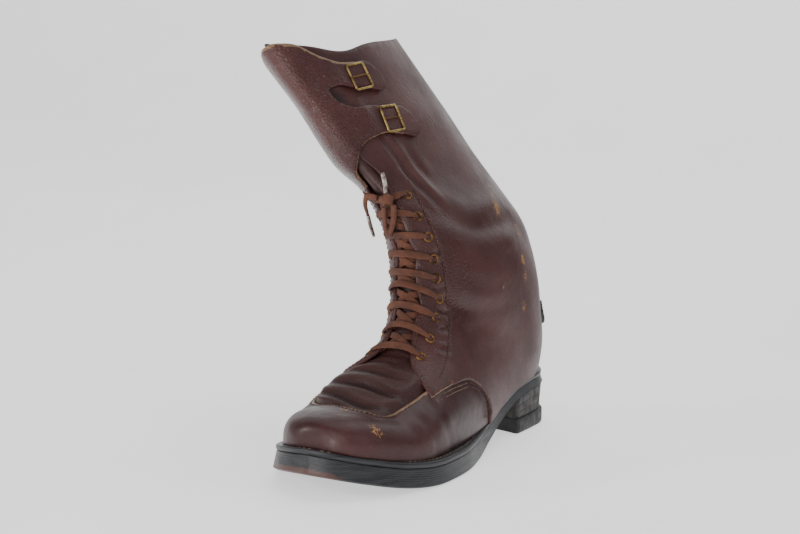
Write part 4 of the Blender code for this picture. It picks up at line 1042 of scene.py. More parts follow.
vampFolds = (
    # groove that lifts the throat's edge
    (0.9, 1.5, 0.35, 0.7, 0.9, ((-25.0, 4.85), (-12.7, 4.48), (0.0, 4.08), (11.0, 3.83), (19.0, 3.98),
                                (24.5, 4.75), (28.0, 5.6))),
    (0.7, 3.0, 0.2, 0.15, 0.45, ((30.0, 5.6), (55.0, 6.1), (80.0, 6.6))),
    (0.6, 3.0, 0.2, 0.15, 0.45, ((33.0, 6.7), (58.0, 7.1), (82.0, 7.6))),
    (0.8, 3.0, 0.2, 0.15, 0.45, ((-30.0, 5.6), (-55.0, 6.0), (-80.0, 6.6))),
    (0.6, 3.0, 0.2, 0.15, 0.45, ((-33.0, 6.8), (-58.0, 7.2), (-82.0, 7.6))),
)
vampScuffs = (
    (4.0, 3.7, 6.0, 0.66), (5.0, 3.0, 4.0, 0.56), (29.6, 3.15, 6.0, 0.72), (34.0, 3.2, 5.0, 0.66),
    (42.0, 2.44, 6.0, 0.5), (42.0, 7.4, 5.0, 0.54), (-14.0, 4.1, 7.0, 0.58), (26.0, 5.2, 4.0, 0.52),
)


vampMesh = {"columns": 151, "sections": ((0.06, 3.0, 0.11), (3.0, 10.6, 0.13)),
            "rawEdges": (5.0, 0.0, 0.6, 0.6, 0.0, 5.0)}


def makeVamp(settings):
    halves = []
    for sign, feather, throatName in ((1, outerFeather, "outerThroat"),
                                      (-1, innerFeather, "innerThroat")):
        throat = cutLine(upperCut[throatName], sign)
        rear = cutLine(upperCut["vampRear"], sign)
        low = partOfLine(feather, rear[-1, 1], 0.0)
        rear[-1] = low[0]
        throat[-1] = rear[0]
        halves.append((throat, rear, low))
    outer, inner = halves
    edges = [*outer, *[line[::-1] for line in inner[::-1]]]
    vamp = cutLeather("vampLeather", edges, settings["rawEdges"], nowhere, upperCut["vampWall"],
                      np.linspace(-1, 1, settings["columns"]), meshSections(settings["sections"]),
                      vampFolds, vampScuffs, upperCut["vampUneven"])
    settle(vamp, (looks["vamp"], looks["lining"], looks["cutEdge"]), "oxblood_leather")


tongueCut = {
    "edge": ((30.0, 3.6), (38.0, 5.2), (40.0, 6.4), (38.5, 7.6), (32.0, 8.8), (27.0, 10.4), (26.0, 13.0),
             (25.0, 15.0), (21.0, 18.4)),
    "wall": 1.8, "rawEdges": (0.0, 0.2, 0.3, 0.2), "uneven": (18.0, 0.25),
    "columns": (-0.34, 0.34, 53), "sections": ((3.7, 18.4, 0.1),), "endSteps": 40,
    # lifts of the sunk part, the swelling in the throat and the peak behind the knot, and where each lies
    "sunk": -2.6, "lessSunk": 0.8, "lessSunkSections": (8.6, 10.0),
    "swell": 4.6, "swellSections": ((4.35, 5.3), (8.7, 7.3)), "swellInner": (-0.5, 5.0),
    "swellOuter": (0.5, -9.0), "peak": 2.4, "peakSections": (16.0, 17.2), "peakReach": (14.0, 4.0),
    "peakMiddle": 2.0,
    "folds": (
        (1.9, 2.7, 0.8, 0.55, 0.45, ((-33.0, 5.9), (-19.6, 5.62), (-6.8, 5.31), (9.5, 5.06),
                                     (21.0, 5.4))),
        (2.0, 2.8, 0.8, 0.55, 0.45, ((-34.0, 6.7), (-16.6, 6.44), (-0.5, 6.31), (15.3, 6.12),
                                     (27.0, 6.3))),
        (1.3, 2.4, 0.6, 0.4, 0.45, ((-28.0, 7.35), (-9.0, 7.2), (8.0, 7.1), (22.0, 7.2))),
        (0.9, 2.0, 0.6, 0.3, 0.45, ((-18.0, 7.85), (-5.0, 8.06), (7.4, 7.94))),
        (0.6, 1.6, 0.4, 0.3, 0.45, ((-10.0, 4.85), (4.0, 4.55), (16.0, 4.6))),
    ),
}


def tongueLift(turn, section):
    cut = tongueCut
    distance = turn * np.where(turn < 0, girthAt(section, 0), girthAt(section, 1))
    innerEdge = -gapEdge("innerThroat", section)
    outerEdge = gapEdge("outerThroat", section, 1)
    first, last = cut["swellSections"]
    swell = cut["swell"] * smoothStep(*(innerEdge + d for d in cut["swellInner"]), distance)
    swell = swell * smoothStep(*(outerEdge + d for d in cut["swellOuter"]), distance)
    swell = swell * smoothStep(*first, section) * smoothStep(*last, section)
    sunk = cut["sunk"] + cut["lessSunk"] * smoothStep(*cut["lessSunkSections"], section)
    peak = cut["peak"] * smoothStep(*cut["peakSections"], section)
    return sunk + swell + peak * smoothStep(*cut["peakReach"], np.abs(distance - cut["peakMiddle"]))


def gapEdge(name, section, first=0):
    # distance round of a cut line at a section
    rounds, sections = np.array(upperCut[name][first:]).T
    return np.interp(section, sections, rounds)


def makeTongue(settings):
    edge, steps = settings["edge"], settings["endSteps"]
    outer, inner = cutLine(edge), cutLine(edge, -1)
    low = np.column_stack([np.linspace(inner[0, 0], outer[0, 0], steps), np.full(steps, edge[0][1])])
    high = np.column_stack([np.linspace(outer[-1, 0], inner[-1, 0], steps), np.full(steps, edge[-1][1])])
    tongue = cutLeather("tongueLeather", [low, outer, high, inner[::-1]], settings["rawEdges"],
                        tongueLift, settings["wall"], np.linspace(*settings["columns"]),
                        meshSections(settings["sections"]), settings["folds"], (), settings["uneven"])
    settle(tongue, (looks["tongue"], looks["lining"], looks["cutEdge"]), "tongue_leather", "tongue")


makeLeg(legMesh)
print("leg cut")
makeVamp(vampMesh)
makeTongue(tongueCut)
print("vamp and tongue cut")

backStrip = {"halfWidth": 6.0, "lift": 2.3, "thickness": 1.2, "sections": (12.75, 21.4), "rows": 150,
             "columns": 13, "roundness": 6, "sunk": 1.0, "rubbedFrom": 0.88, "rub": 0.35}


def makeBackStrip(settings):
    across = np.linspace(-1.0, 1.0, settings["columns"])
    shape = np.sqrt(np.clip(1.0 - np.abs(across) ** settings["roundness"], 0.0, 1.0))
    rings = []
    for section in np.linspace(*settings["sections"], settings["rows"]):
        turns = 1.0 + across * settings["halfWidth"] / girthAt(section, 1)
        lift = settings["lift"] + surfaceShift(onForm(turns, section, 0.0), legFolds,
                                               upperCut["legUneven"])
        low = onForm(turns, section, lift - settings["sunk"])
        high = onForm(turns, section, lift + settings["thickness"] * shape)
        rings.append(np.vstack([high, low[::-1]]))
    strip = skinRings("backStripLeather", rings)
    rubbed = np.tile(np.abs(across) > settings["rubbedFrom"],
                     2 * settings["rows"])[:len(strip.data.vertices)]
    storeShare(strip, "edgeRub", settings["rub"] * rubbed)
    storeShare(strip, "scuff", scuffField(meshPoints(strip), legScuffs))
    settle(strip, (looks["leg"],), "oxblood_leather", "back_strip")


makeBackStrip(backStrip)

spurRest = {
    "halfWidth": 29.0, "sections": (13.65, 14.35), "base": 3.2, "proud": 4.4, "taper": 0.35, "sunk": 1.4,
    "rings": 61,
    # share of the height from its foot, share of how proud it stands
    "profile": ((0.0, 0.2), (0.02, 0.75), (0.1, 0.97), (0.22, 1.0), (0.5, 0.72), (0.8, 0.42),
                (0.97, 0.24), (1.0, 0.05)),
}


def makeSpurRest(settings):
    first, last = settings["sections"]
    base = settings["base"]
    rings = []
    for share in np.linspace(-1.0, 1.0, settings["rings"]):
        high, low = [], []
        thin = 1.0 - settings["taper"] * abs(share) ** 3
        end = math.sqrt(max(0.0, 1.0 - abs(share) ** 12))
        for along, proud in settings["profile"]:
            section = first + along * (last - first)
            turn = 1.0 + share * settings["halfWidth"] / girthAt(section, 1)
            high.append(onForm(turn, section, base + settings["proud"] * proud * thin * end))
            low.append(onForm(turn, section, base - settings["sunk"]))
        rings.append(np.vstack(high + low[::-1]))
    rest = skinRings("spurRestBlock", rings)
    settle(rest, (looks["heel"],), "black_rubber", "spur_rest")


makeSpurRest(spurRest)
print("back strip and spur rest made")

# sole

soleShape = {
    "weltThickness": 3.6, "weltReach": 16.0, "points": 240, "leastHalfWidth": 0.6,
    # inset from the sole's edge and drop from the top of the welt
    "weltEdge": ((6.0, 0.0), (1.6, 0.0), (0.6, -0.15), (0.1, -0.7), (0.0, -1.6), (0.05, -2.6)),
    "weltFoot": 0.5, "weltRub": 0.35, "weltRubDepth": 0.9,
    "flare": 1.6, "ribs": 9, "ribDepth": 0.07, "ribbed": (0.04, 0.86), "steps": 44, "seam": 0.05,
    "lidInset": 14.0, "edgeInset": 0.5, "roundTop": (0.5, 0.05), "roundLow": (1.3, 0.1),
    "treadShares": (0.04, 0.12, 0.25, 0.38, 0.5),
    # where the edge is worn: stations and across of the toe, shares of the edge's height
    "toeStations": (225.0, 280.0), "toeAcross": (45.0, -5.0), "toeRub": 0.95, "toeRubHeight": (0.5, 0.85),
    "footRub": 0.3, "footRubHeight": (0.85, 1.0),
}


def soleOutline(count):
    knots = runLength(soleRows[:, [0, 2]])
    return smoothThrough(knots, soleRows[:, :3], np.linspace(0, knots[-1], count))


def insetStation(station, inset):
    return inset + station * (bootForm["soleLength"] - 2 * inset) / bootForm["soleLength"]


def soleLoop(inset, count):
    rows = soleOutline(count)
    station = insetStation(rows[:, 0], inset)
    middle = (rows[:, 1] + rows[:, 2]) / 2
    inner = np.minimum(rows[:, 1] + inset, middle - soleShape["leastHalfWidth"])
    outer = np.maximum(rows[:, 2] - inset, middle + soleShape["leastHalfWidth"])
    return np.column_stack([np.concatenate([outer, inner[::-1]]),
                            np.concatenate([station, station[::-1]])])


def makeWelt(settings):
    thick, reach = settings["weltThickness"], settings["weltReach"]
    profile = ((reach, 0.0), *settings["weltEdge"], (settings["weltFoot"], -thick), (reach, -thick))
    lines = []
    for inset, drop in profile:
        across, station = soleLoop(inset, settings["points"]).T
        lines.append(placed(across, station, weltTop(station) + drop))
    welt = skinRings("weltStrip", [np.array(ring) for ring in zip(*lines)], closed=True)
    points = meshPoints(welt)
    top = weltTop(bootForm["originStation"] - points[:, 1])
    storeShare(welt, "worn", settings["weltRub"] * (points[:, 2] > top - settings["weltRubDepth"]))
    settle(welt, (looks["soleEdge"],), "blacked_sole_leather", "welt")


def makeSoleBody(settings):
    half = settings["points"]
    under = settings["weltThickness"] + settings["seam"]
    across, station = soleLoop(settings["lidInset"], half).T
    rings = [placed(across, station, weltTop(station) - under)]
    (topRound, topShare), (lowRound, lowShare) = settings["roundTop"], settings["roundLow"]
    ribFrom, ribTo = settings["ribbed"]
    for t in np.linspace(0.0, 1.0, settings["steps"]):
        wave = 0.5 - 0.5 * math.cos(2 * math.pi * settings["ribs"] * t)
        rib = settings["ribDepth"] * wave * (ribFrom < t < ribTo)
        rounding = topRound * max(0.0, 1.0 - t / topShare) ** 2
        rounding += lowRound * max(0.0, 1.0 - (1.0 - t) / lowShare) ** 2
        across, station = soleLoop(settings["edgeInset"] - settings["flare"] * t + rib + rounding, half).T
        top = weltTop(station) - under
        rings.append(placed(across, station, top + (groundSide(station) - top) * t))
    edgeRings = len(rings)
    outerEdge, innerEdge = rings[-1][:half], rings[-1][half:][::-1]
    for share in settings["treadShares"]:
        reach = (innerEdge - outerEdge) * share
        rings.append(np.vstack([outerEdge + reach, (innerEdge - reach)[::-1]]))
    count = 2 * half
    faces = ringFaces(count, len(rings))
    lid = [(i, i + 1, count - 2 - i, count - 1 - i) for i in range(half - 1)]
    body = addMesh("soleBody", np.vstack(rings), faces + lid)
    slots = np.zeros(len(body.data.polygons), np.int32)
    slots[edgeRings * count:len(faces)] = 1
    body.data.polygons.foreach_set("material_index", slots)
    points = meshPoints(body)
    station = bootForm["originStation"] - points[:, 1]
    high = weltTop(station) - settings["weltThickness"]
    share = (high - points[:, 2]) / np.maximum(high - groundSide(station), 1.0)
    toe = smoothStep(*settings["toeStations"], station) * smoothStep(*settings["toeAcross"], points[:, 0])
    worn = np.maximum(settings["footRub"] * smoothStep(*settings["footRubHeight"], share),
                      settings["toeRub"] * toe * smoothStep(*settings["toeRubHeight"], share))
    storeShare(body, "worn", worn)
    closeAndSmooth(body)
    settle(body, (looks["soleEdge"], looks["tread"]), "blacked_sole_leather", "midsole", "outsole")


makeWelt(soleShape)
makeSoleBody(soleShape)

heelShape = {
    "breast": 70.0, "breastSlope": 0.4, "hollow": 6.0, "corner": 1.2, "cornerGap": 2.0,
    "backHalfWidth": 0.6, "pieceHeight": 10.0, "overhang": 1.8, "lifts": 3, "points": 120,
    "outlineSteps": 900, "frontSteps": 41, "seam": 0.05, "lidInset": 2.0, "stackInset": -0.4,
    "stackTaper": 0.5,
    # share of each lift's height and inset
    "liftEdge": ((0.03, 0.22), (0.1, 0.05), (0.5, 0.0), (0.9, 0.05), (0.97, 0.22)),
    "pieceTop": (0.02, 3.0),
    # height and inset of the top piece, down to the ground
    "pieceEdge": ((9.95, 1.2), (9.65, 0.6), (8.8, 0.2), (6.0, 0.1), (3.0, 0.0), (1.2, 0.0), (0.45, 0.25),
                  (0.08, 0.8), (0.0, 1.6)),
}


def heelLoop(inset, settings):
    rows = soleOutline(settings["outlineSteps"])
    station = insetStation(rows[:, 0], inset)
    breast = settings["breast"] - inset * settings["breastSlope"]
    keep = station < breast - settings["cornerGap"]
    outer = np.column_stack([rows[keep, 2] - inset, station[keep]])
    inner = np.column_stack([rows[keep, 1] + inset, station[keep]])
    outer[0], inner[0] = (settings["backHalfWidth"], station[0]), (-settings["backHalfWidth"], station[0])
    across = np.linspace(1.0, -1.0, settings["frontSteps"])
    right, left = outer[-1, 0] - settings["corner"], inner[-1, 0] + settings["corner"]
    front = np.column_stack([np.where(across > 0, across * right, -across * left),
                             breast - settings["hollow"] * (1 - across**2)])
    loop = np.vstack([outer, front, inner[::-1]])
    run = runLength(loop)
    at = np.linspace(0, run[-1], settings["points"] * 2)[:-1]
    return np.column_stack([np.interp(at, run, loop[:, i]) for i in range(2)])


def makeHeelPart(name, levels, settings, finish, slotName, node):
    # each level is an inset, its share of the way from the sole to the top piece, and a height if it is fixed
    piece, seam = settings["pieceHeight"], settings["seam"]
    rings = []
    for inset, share, height in levels:
        across, station = heelLoop(inset, settings).T
        top = groundSide(station) - seam
        if height is None:
            level = top + (piece + seam - groundSide(station)) * share
        else:
            level = 0 * station + height
        rings.append(placed(across, station, level))
    settle(skinRings(name, rings), (finish,), slotName, node)


def makeHeel(settings):
    piece, lifts, over = settings["pieceHeight"], settings["lifts"], settings["overhang"]
    levels = [(settings["lidInset"], 0.0, None)]
    for k in range(lifts):
        for t, inset in settings["liftEdge"]:
            share = (k + t) / lifts
            levels.append((inset + settings["stackTaper"] * share + settings["stackInset"], share, None))
    levels.append((settings["lidInset"], 1.0, piece + settings["seam"]))
    makeHeelPart("heelStackLifts", levels, settings, looks["heelStack"], "blacked_sole_leather",
                 "heel_stack")
    sunk, inset = settings["pieceTop"]
    levels = [(inset - over, 1.0, piece - sunk)]
    levels += [(inset - over, 1.0, height) for height, inset in settings["pieceEdge"]]
    makeHeelPart("heelTopPieceRubber", levels, settings, looks["heel"], "black_rubber", "heel_top_piece")


makeHeel(heelShape)

insoleShape = {"thickness": 3.0, "clearance": 2.2, "rows": 90, "columns": 21, "sections": (0.9, 12.35),
               "dish": 1.0, "roundness": 8, "raised": 0.3, "least": 0.1}


def makeInsole(settings):
    across = np.linspace(-1.0, 1.0, settings["columns"])
    thick = settings["thickness"] * np.sqrt(np.clip(1 - np.abs(across) ** settings["roundness"], 0, 1))
    shape = np.maximum(thick - settings["dish"] * (1 - across**2), settings["least"])
    rings = []
    for section in np.linspace(*settings["sections"], settings["rows"]):
        ends = []
        for line in (innerFeather, outerFeather):
            turn = np.interp(section, line[:, 1], line[:, 0])
            ends.append(onForm(turn, section, -(upperCut["vampWall"] + settings["clearance"])))
        flat = (ends[0] + ends[1]) / 2 + (ends[1] - ends[0]) / 2 * across[:, None]
        base = weltTop(bootForm["originStation"] - flat[:, 1]) + settings["raised"]
        high = np.column_stack([flat[:, :2], base + shape])
        low = np.column_stack([flat[:, :2], base])
        rings.append(np.vstack([high, low[::-1]]))
    insole = skinRings("insoleLeather", rings)
    settle(insole, (looks["insole"],), "insole_leather", "insole")


makeInsole(insoleShape)
print("sole, heel and insole made")

# stitches

stitching = {
    "upper": {"length": 2.2, "gap": 0.9, "radius": 0.36},
    "welt": {"length": 3.2, "gap": 1.0, "radius": 0.45},
    # share of a stitch's length, its thickness and its height there
    "shape": ((0.0, 0.45, -0.7), (0.18, 0.9, 0.1), (0.5, 1.0, 0.3), (0.82, 0.9, 0.1), (1.0, 0.45, -0.7)),
    "corners": 6, "start": 0.8,
    # how far each row lies from its edge
    "quarterRows": (2.2, 4.6), "facingRow": 2.4, "throatRow": 2.3, "facingTop": 17.3,
    "stripRows": (-0.72, 0.72), "stripSections": (13.0, 21.3, 160), "stripHeight": 0.95,
    "weltRow": 3.4, "weltSteps": 400, "weltFrom": 62.0,
    # distance round and section of the stay's stitches, beside the eyelets
    "outerStay": ((27.0, 17.45), (22.5, 16.3), (22.6, 14.8), (26.5, 13.3), (31.0, 12.0), (33.0, 10.6),
                  (33.5, 9.3), (34.5, 8.2)),
    "innerStay": ((30.0, 17.3), (31.0, 16.0), (28.0, 14.6), (26.0, 13.2), (25.0, 12.0), (26.0, 10.6),
                  (29.0, 9.3), (30.0, 8.3)),
}


def insetLine(line, distance, towards):
    both = [movedInside(line, distance, False, hand) for hand in (True, False)]
    return min(both, key=lambda moved: np.hypot(*((moved.mean(0) - towards) * flatScale)))


def onLeather(line, lift, folds, unevenness):
    shift = surfaceShift(onForm(*line.T, 0.0), folds, unevenness)
    return onForm(*line.T, lift + shift), normalOn(*line.T)


def sew(name, rows, settings, finish, slotName):
    # short raised stitches with sunk ends along each row of points and normals
    count, shape = stitching["corners"], np.array(stitching["shape"])
    angles = np.linspace(0, 2 * math.pi, count + 1)[:-1]
    pitch, radius = settings["length"] + settings["gap"], settings["radius"]
    points, faces = [], []
    for path, normals in rows:
        run = runLength(path)
        for start in np.arange(stitching["start"], run[-1] - pitch, pitch):
            at = start + settings["length"] * shape[:, 0]
            middle = np.column_stack([np.interp(at, run, path[:, i]) for i in range(3)])
            up = np.column_stack([np.interp(at, run, normals[:, i]) for i in range(3)])
            along = (middle[-1] - middle[0]) / np.linalg.norm(middle[-1] - middle[0])
            faces += tubeFaces(count, len(shape), count * len(points))
            for p, u, s, (_, size, rise) in zip(middle, up, np.cross(up, along), shape):
                ring = np.outer(np.cos(angles), s) + np.outer(np.sin(angles), u)
                points.append(p + u * rise * radius + radius * size * ring)
    thing = addMesh(name, np.vstack(points), faces)
    closeAndSmooth(thing)
    settle(thing, (finish,), slotName)


def sewUpper():
    leg = (upperCut["legOuterLift"], legFolds, upperCut["legUneven"])
    vamp = (0.0, vampFolds, upperCut["vampUneven"])
    legMiddle = (1.0, 13.0)
    rows, seamRows = [], []
    for sign, turns, front, facing, stay, throat in (
            (1, 0.0, "quarterFront", "outerFacing", "outerStay", "outerThroat"),
            (-1, 2.0, "innerQuarterFront", "innerFacing", "innerStay", "innerThroat")):
        quarter = shifted(cutLine(upperCut[front], sign), turns)
        for distance in stitching["quarterRows"]:
            row = insetLine(quarter, distance, legMiddle)[stepsPerStop:]
            seamRows.append(onLeather(row[:len(row) // 2], *leg))
            rows.append(onLeather(row[len(row) // 2:], *leg))
        edge = cutLine([stop for stop in upperCut[facing] if stop[1] < stitching["facingTop"]], sign)
        rows.append(onLeather(insetLine(shifted(edge, turns), stitching["facingRow"], legMiddle), *leg))
        rows.append(onLeather(shifted(cutLine(stitching[stay], sign), turns), *leg))
        edge = cutLine(upperCut[throat][:-1], sign)
        rows.append(onLeather(insetLine(edge, stitching["throatRow"], (sign * 0.6, 3.0)), *vamp))
    sections = np.linspace(*stitching["stripSections"])
    height = backStrip["lift"] + backStrip["thickness"] * stitching["stripHeight"]
    for across in stitching["stripRows"]:
        line = np.column_stack([1.0 + across * backStrip["halfWidth"] / girthAt(sections, 1), sections])
        rows.append(onLeather(line, height, legFolds, upperCut["legUneven"]))
    sew("upperStitches", rows, stitching["upper"], looks["thread"], "oxblood_leather")
    sew("quarterStitches", seamRows, stitching["upper"], looks["tanThread"], "oxblood_leather")


def sewWelt():
    loop = soleLoop(stitching["weltRow"], stitching["weltSteps"])
    loop = loop[loop[:, 1] > stitching["weltFrom"]]
    half = np.argmax(loop[:, 1])
    rows = []
    for across, station in (loop[:half + 1].T, loop[half + 1:].T):
        path = placed(across, station, weltTop(station))
        rows.append((path, np.tile((0.0, 0.0, 1.0), (len(path), 1))))
    sew("weltStitches", rows, stitching["welt"], looks["weltThread"], "blacked_sole_leather")


sewUpper()
sewWelt()
print("stitches sewn")

# eyelets and lace

lacing = {
    "width": 4.7, "thickness": 1.1, "corners": 16, "squareness": (0.55, 0.8), "weaveScale": 0.55,
    "barSteps": 60, "crossSteps": 30, "crossWidth": 0.92,
    # a bar is narrow and thick where it goes into an eyelet
    "endWidth": 2.1, "endThickness": 0.8, "narrowing": (0.05, 0.26),
    # distance in from the eyelet, share of the bar's slip, lift
    "barEnd": ((0.7, 0.0, -1.8), (0.9, 0.0, 0.7), (2.5, 0.0, 2.6), (5.5, 0.25, 3.0)),
    # share of the slip, lift, share of the rise at the gap's edges and in its middle
    "barEdge": (0.7, 2.7, 0.4), "barMiddle": (1.0, 2.4, 1.0),
    # share across the gap, distance past its edge, share of the way up, lift, share of the sinking
    "cross": ((0.0, 6.0, 0.05, -1.5, 0.0), (0.0, 0.0, 0.22, -0.8, 0.3), (0.35, 0.0, 0.4, 0.7, 1.0),
              (0.65, 0.0, 0.6, 0.7, 1.0), (1.0, 0.0, 0.78, -0.8, 0.3), (1.0, -6.0, 0.95, -1.5, 0.0)),
    "crossReach": 0.2, "crossSink": 0.7,
    # eyelet pairs from the toe up: section, distance round on the outer side and on the inner side
    "pairs": ((8.7, 17.9, 19.0), (9.88, 19.5, 17.0), (11.05, 22.3, 16.0), (12.05, 24.5, 17.0),
              (12.9, 20.5, 17.5), (13.8, 18.3, 16.8), (14.8, 16.8, 19.5), (15.72, 14.5, 23.5),
              (16.72, 16.7, 22.0)),
}
eyeletShape = {
    # radius and height of the turned section
    "profile": ((1.95, -1.6), (1.95, 0.1), (2.1, 0.45), (2.4, 0.7), (2.8, 0.72), (3.15, 0.5), (3.4, 0.15),
                (3.4, -0.25)),
    "corners": 28, "wall": 0.35,
}


def eyeletPlace(number, sign):
    section, outer, inner = lacing["pairs"][number]
    return (outer if sign > 0 else -inner), section


def spotOnLeg(turn, section, lift):
    # the place and axes of a small fitting that follows the leg's folds
    shift = surfaceShift(onForm(turn, section, 0.0)[None], legFolds, upperCut["legUneven"])[0]
    return localAxes(turn, section, lift + shift)


def makeEyelets(settings):
    profile = settings["profile"]
    radius, height = profile[0]
    bpy.ops.mesh.primitive_circle_add(vertices=settings["corners"], radius=radius * mm,
                                      location=(0, 0, 0))
    model = bpy.context.object
    bpy.ops.object.mode_set(mode="EDIT")
    bpy.ops.mesh.select_all(action="SELECT")
    bpy.ops.transform.translate(value=(0, 0, height * mm))
    for (radius, height), (newRadius, newHeight) in zip(profile[:-1], profile[1:]):
        bpy.ops.mesh.extrude_region_move(TRANSFORM_OT_translate={"value": (0, 0, (newHeight - height) * mm)})
        grow = newRadius / radius
        bpy.ops.transform.resize(value=(grow, grow, 1.0), center_override=(0, 0, 0))
    bpy.ops.object.mode_set(mode="OBJECT")
    wall = model.modifiers.new("wall", "SOLIDIFY")
    wall.thickness = settings["wall"] * mm
    bpy.ops.object.modifier_apply(modifier="wall")
    closeAndSmooth(model)
    for number in range(len(lacing["pairs"])):
        for side, sign, layer in (("outer", 1, 0.0), ("inner", -1, 2.0)):
            roundDistance, section = eyeletPlace(number, sign)
            turn = layer + toTurn(roundDistance, section)
            point, around, upward, outward = spotOnLeg(turn, section, upperCut["legOuterLift"])
            ring = model.copy()
            ring.data = model.data.copy()
            ring.name = f"eyelet{side.capitalize()}{number + 1}"
            bpy.context.scene.collection.objects.link(ring)
            ring.data.transform(placeMatrix(around, upward, outward, point))
            settle(ring, (looks["eyeletBrass"],), "aged_brass", f"eyelet_{side}_{number + 1}")
    bpy.data.objects.remove(model)


makeEyelets(eyeletShape)


def unitRows(vectors):
    return vectors / np.linalg.norm(vectors, axis=1, keepdims=True)


def ribbon(name, path, faceNormals, widths, thickness):
    # a flat woven lace swept along a path, with its weave laid along it
    tangent = unitRows(np.gradient(path, axis=0))
    side = unitRows(np.cross(faceNormals, tangent))
    face = np.cross(tangent, side)
    count = lacing["corners"]
    angles = np.linspace(0, 2 * math.pi, count + 1)[:-1]
    flatX, flatY = [np.sign(wave) * np.abs(wave) ** power
                    for wave, power in zip((np.cos(angles), np.sin(angles)), lacing["squareness"])]
    widths = np.broadcast_to(widths, len(path))
    thicks = np.broadcast_to(thickness, len(path))
    rings = [p + np.outer(flatX * w / 2, s) + np.outer(flatY * t / 2, f)
             for p, w, t, s, f in zip(path, widths, thicks, side, face)]
    thing = addMesh(name, np.vstack(rings), tubeFaces(count, len(rings)))
    scale = lacing["weaveScale"]
    weave = thing.data.uv_layers.new(name="weave")
    vertexUv = np.array([(run * scale, x * lacing["width"] / 2 * scale) for run in runLength(path)
                         for x in flatX])
    loopVerts = np.zeros(len(thing.data.loops), np.int32)
    thing.data.loops.foreach_get("vertex_index", loopVerts)
    weave.data.foreach_set("uv", vertexUv[loopVerts].ravel().astype(np.float32))
    closeAndSmooth(thing)
    return thing


def routeOnForm(route, steps):
    # round distance, section and lift of each stop on a lace's way
    route = np.array(route, float)
    points = onForm(toTurn(route[:, 0], route[:, 1]), route[:, 1], route[:, 2])
    knots = runLength(points)
    at = np.linspace(0, knots[-1], steps)
    path = smoothThrough(knots, points, at)
    stops = smoothThrough(knots, route, at)
    return path, normalOn(toTurn(stops[:, 0], stops[:, 1]), stops[:, 1])


def joined(things, name):
    choose(things[0])
    for thing in things:
        thing.select_set(True)
    bpy.ops.object.join()
    things[0].name = name
    return things[0]


# how each bar lies: rise at its middle, slip of its middle up the leg, twist in degrees
barLay = ((0.6, 0.10, 12.0), (0.9, 0.14, -16.0), (0.5, 0.04, 22.0), (1.2, 0.13, -28.0),
          (0.9, -0.12, 20.0), (0.9, -0.03, -15.0), (0.8, -0.11, 18.0), (0.3, 0.04, -22.0),
          (1.4, -0.3, 16.0))


def layBar(number, settings):
    rise, slip, twist = barLay[number]
    outer, section = eyeletPlace(number, 1)
    inner, _ = eyeletPlace(number, -1)
    outerEdge, innerEdge = gapEdge("outerFacing", section), -gapEdge("innerFacing", section)
    route = [(outer - d, section + slip * share, lift) for d, share, lift in settings["barEnd"]]
    for place, (share, lift, risen) in ((outerEdge, settings["barEdge"]),
                                        ((outerEdge + innerEdge) / 2, settings["barMiddle"]),
                                        (innerEdge, settings["barEdge"])):
        route.append((place, section + slip * share, lift + rise * risen))
    route += [(inner + d, section + slip * share, lift) for d, share, lift in settings["barEnd"][::-1]]
    steps = settings["barSteps"]
    path, normals = routeOnForm(route, steps)
    toEnd = np.minimum(np.arange(steps), np.arange(steps)[::-1]) / (steps - 1)
    wide = smoothStep(*settings["narrowing"], toEnd)
    tangent = np.gradient(path, axis=0)
    aside = unitRows(np.cross(normals, tangent))
    turn = math.radians(twist) * np.sin(np.linspace(0, math.pi, steps))
    normals = normals * np.cos(turn)[:, None] + aside * np.sin(turn)[:, None]
    upright = unitRows(np.cross(tangent, aside))
    normals = normals * wide[:, None] + (1 - wide)[:, None] * upright
    endWidth = settings["endWidth"]
    return ribbon(f"laceBar{number}", path, normals, endWidth + (settings["width"] - endWidth) * wide,
                  settings["thickness"] + settings["endThickness"] * (1 - wide))


def layCross(number, sign, sink, settings):
    section, nextSection = (settings["pairs"][n][0] for n in (number, number + 1))
    step = nextSection - section
    first, second = ("outerFacing", "innerFacing")[::sign]
    low = sign * gapEdge(first, section + settings["crossReach"] * step)
    high = -sign * gapEdge(second, nextSection - settings["crossReach"] * step)
    route = [(low * (1 - across) + high * across + sign * past, section + along * step, lift - sink * sunk)
             for across, past, along, lift, sunk in settings["cross"]]
    path, normals = routeOnForm(route, settings["crossSteps"])
    return ribbon(f"laceCross{number}{sign}", path, normals, settings["width"] * settings["crossWidth"],
                  settings["thickness"])


def makeLaceLadder(settings):
    strips = []
    for number in range(len(barLay)):
        strips.append(layBar(number, settings))
        if number + 1 < len(settings["pairs"]):
            strips.append(layCross(number, 1, 0.0, settings))
            strips.append(layCross(number, -1, settings["crossSink"], settings))
    ladder = joined(strips, "laceLadder")
    settle(ladder, (looks["lace"],), "rust_brown_lace", "lace_crossings")


makeLaceLadder(lacing)

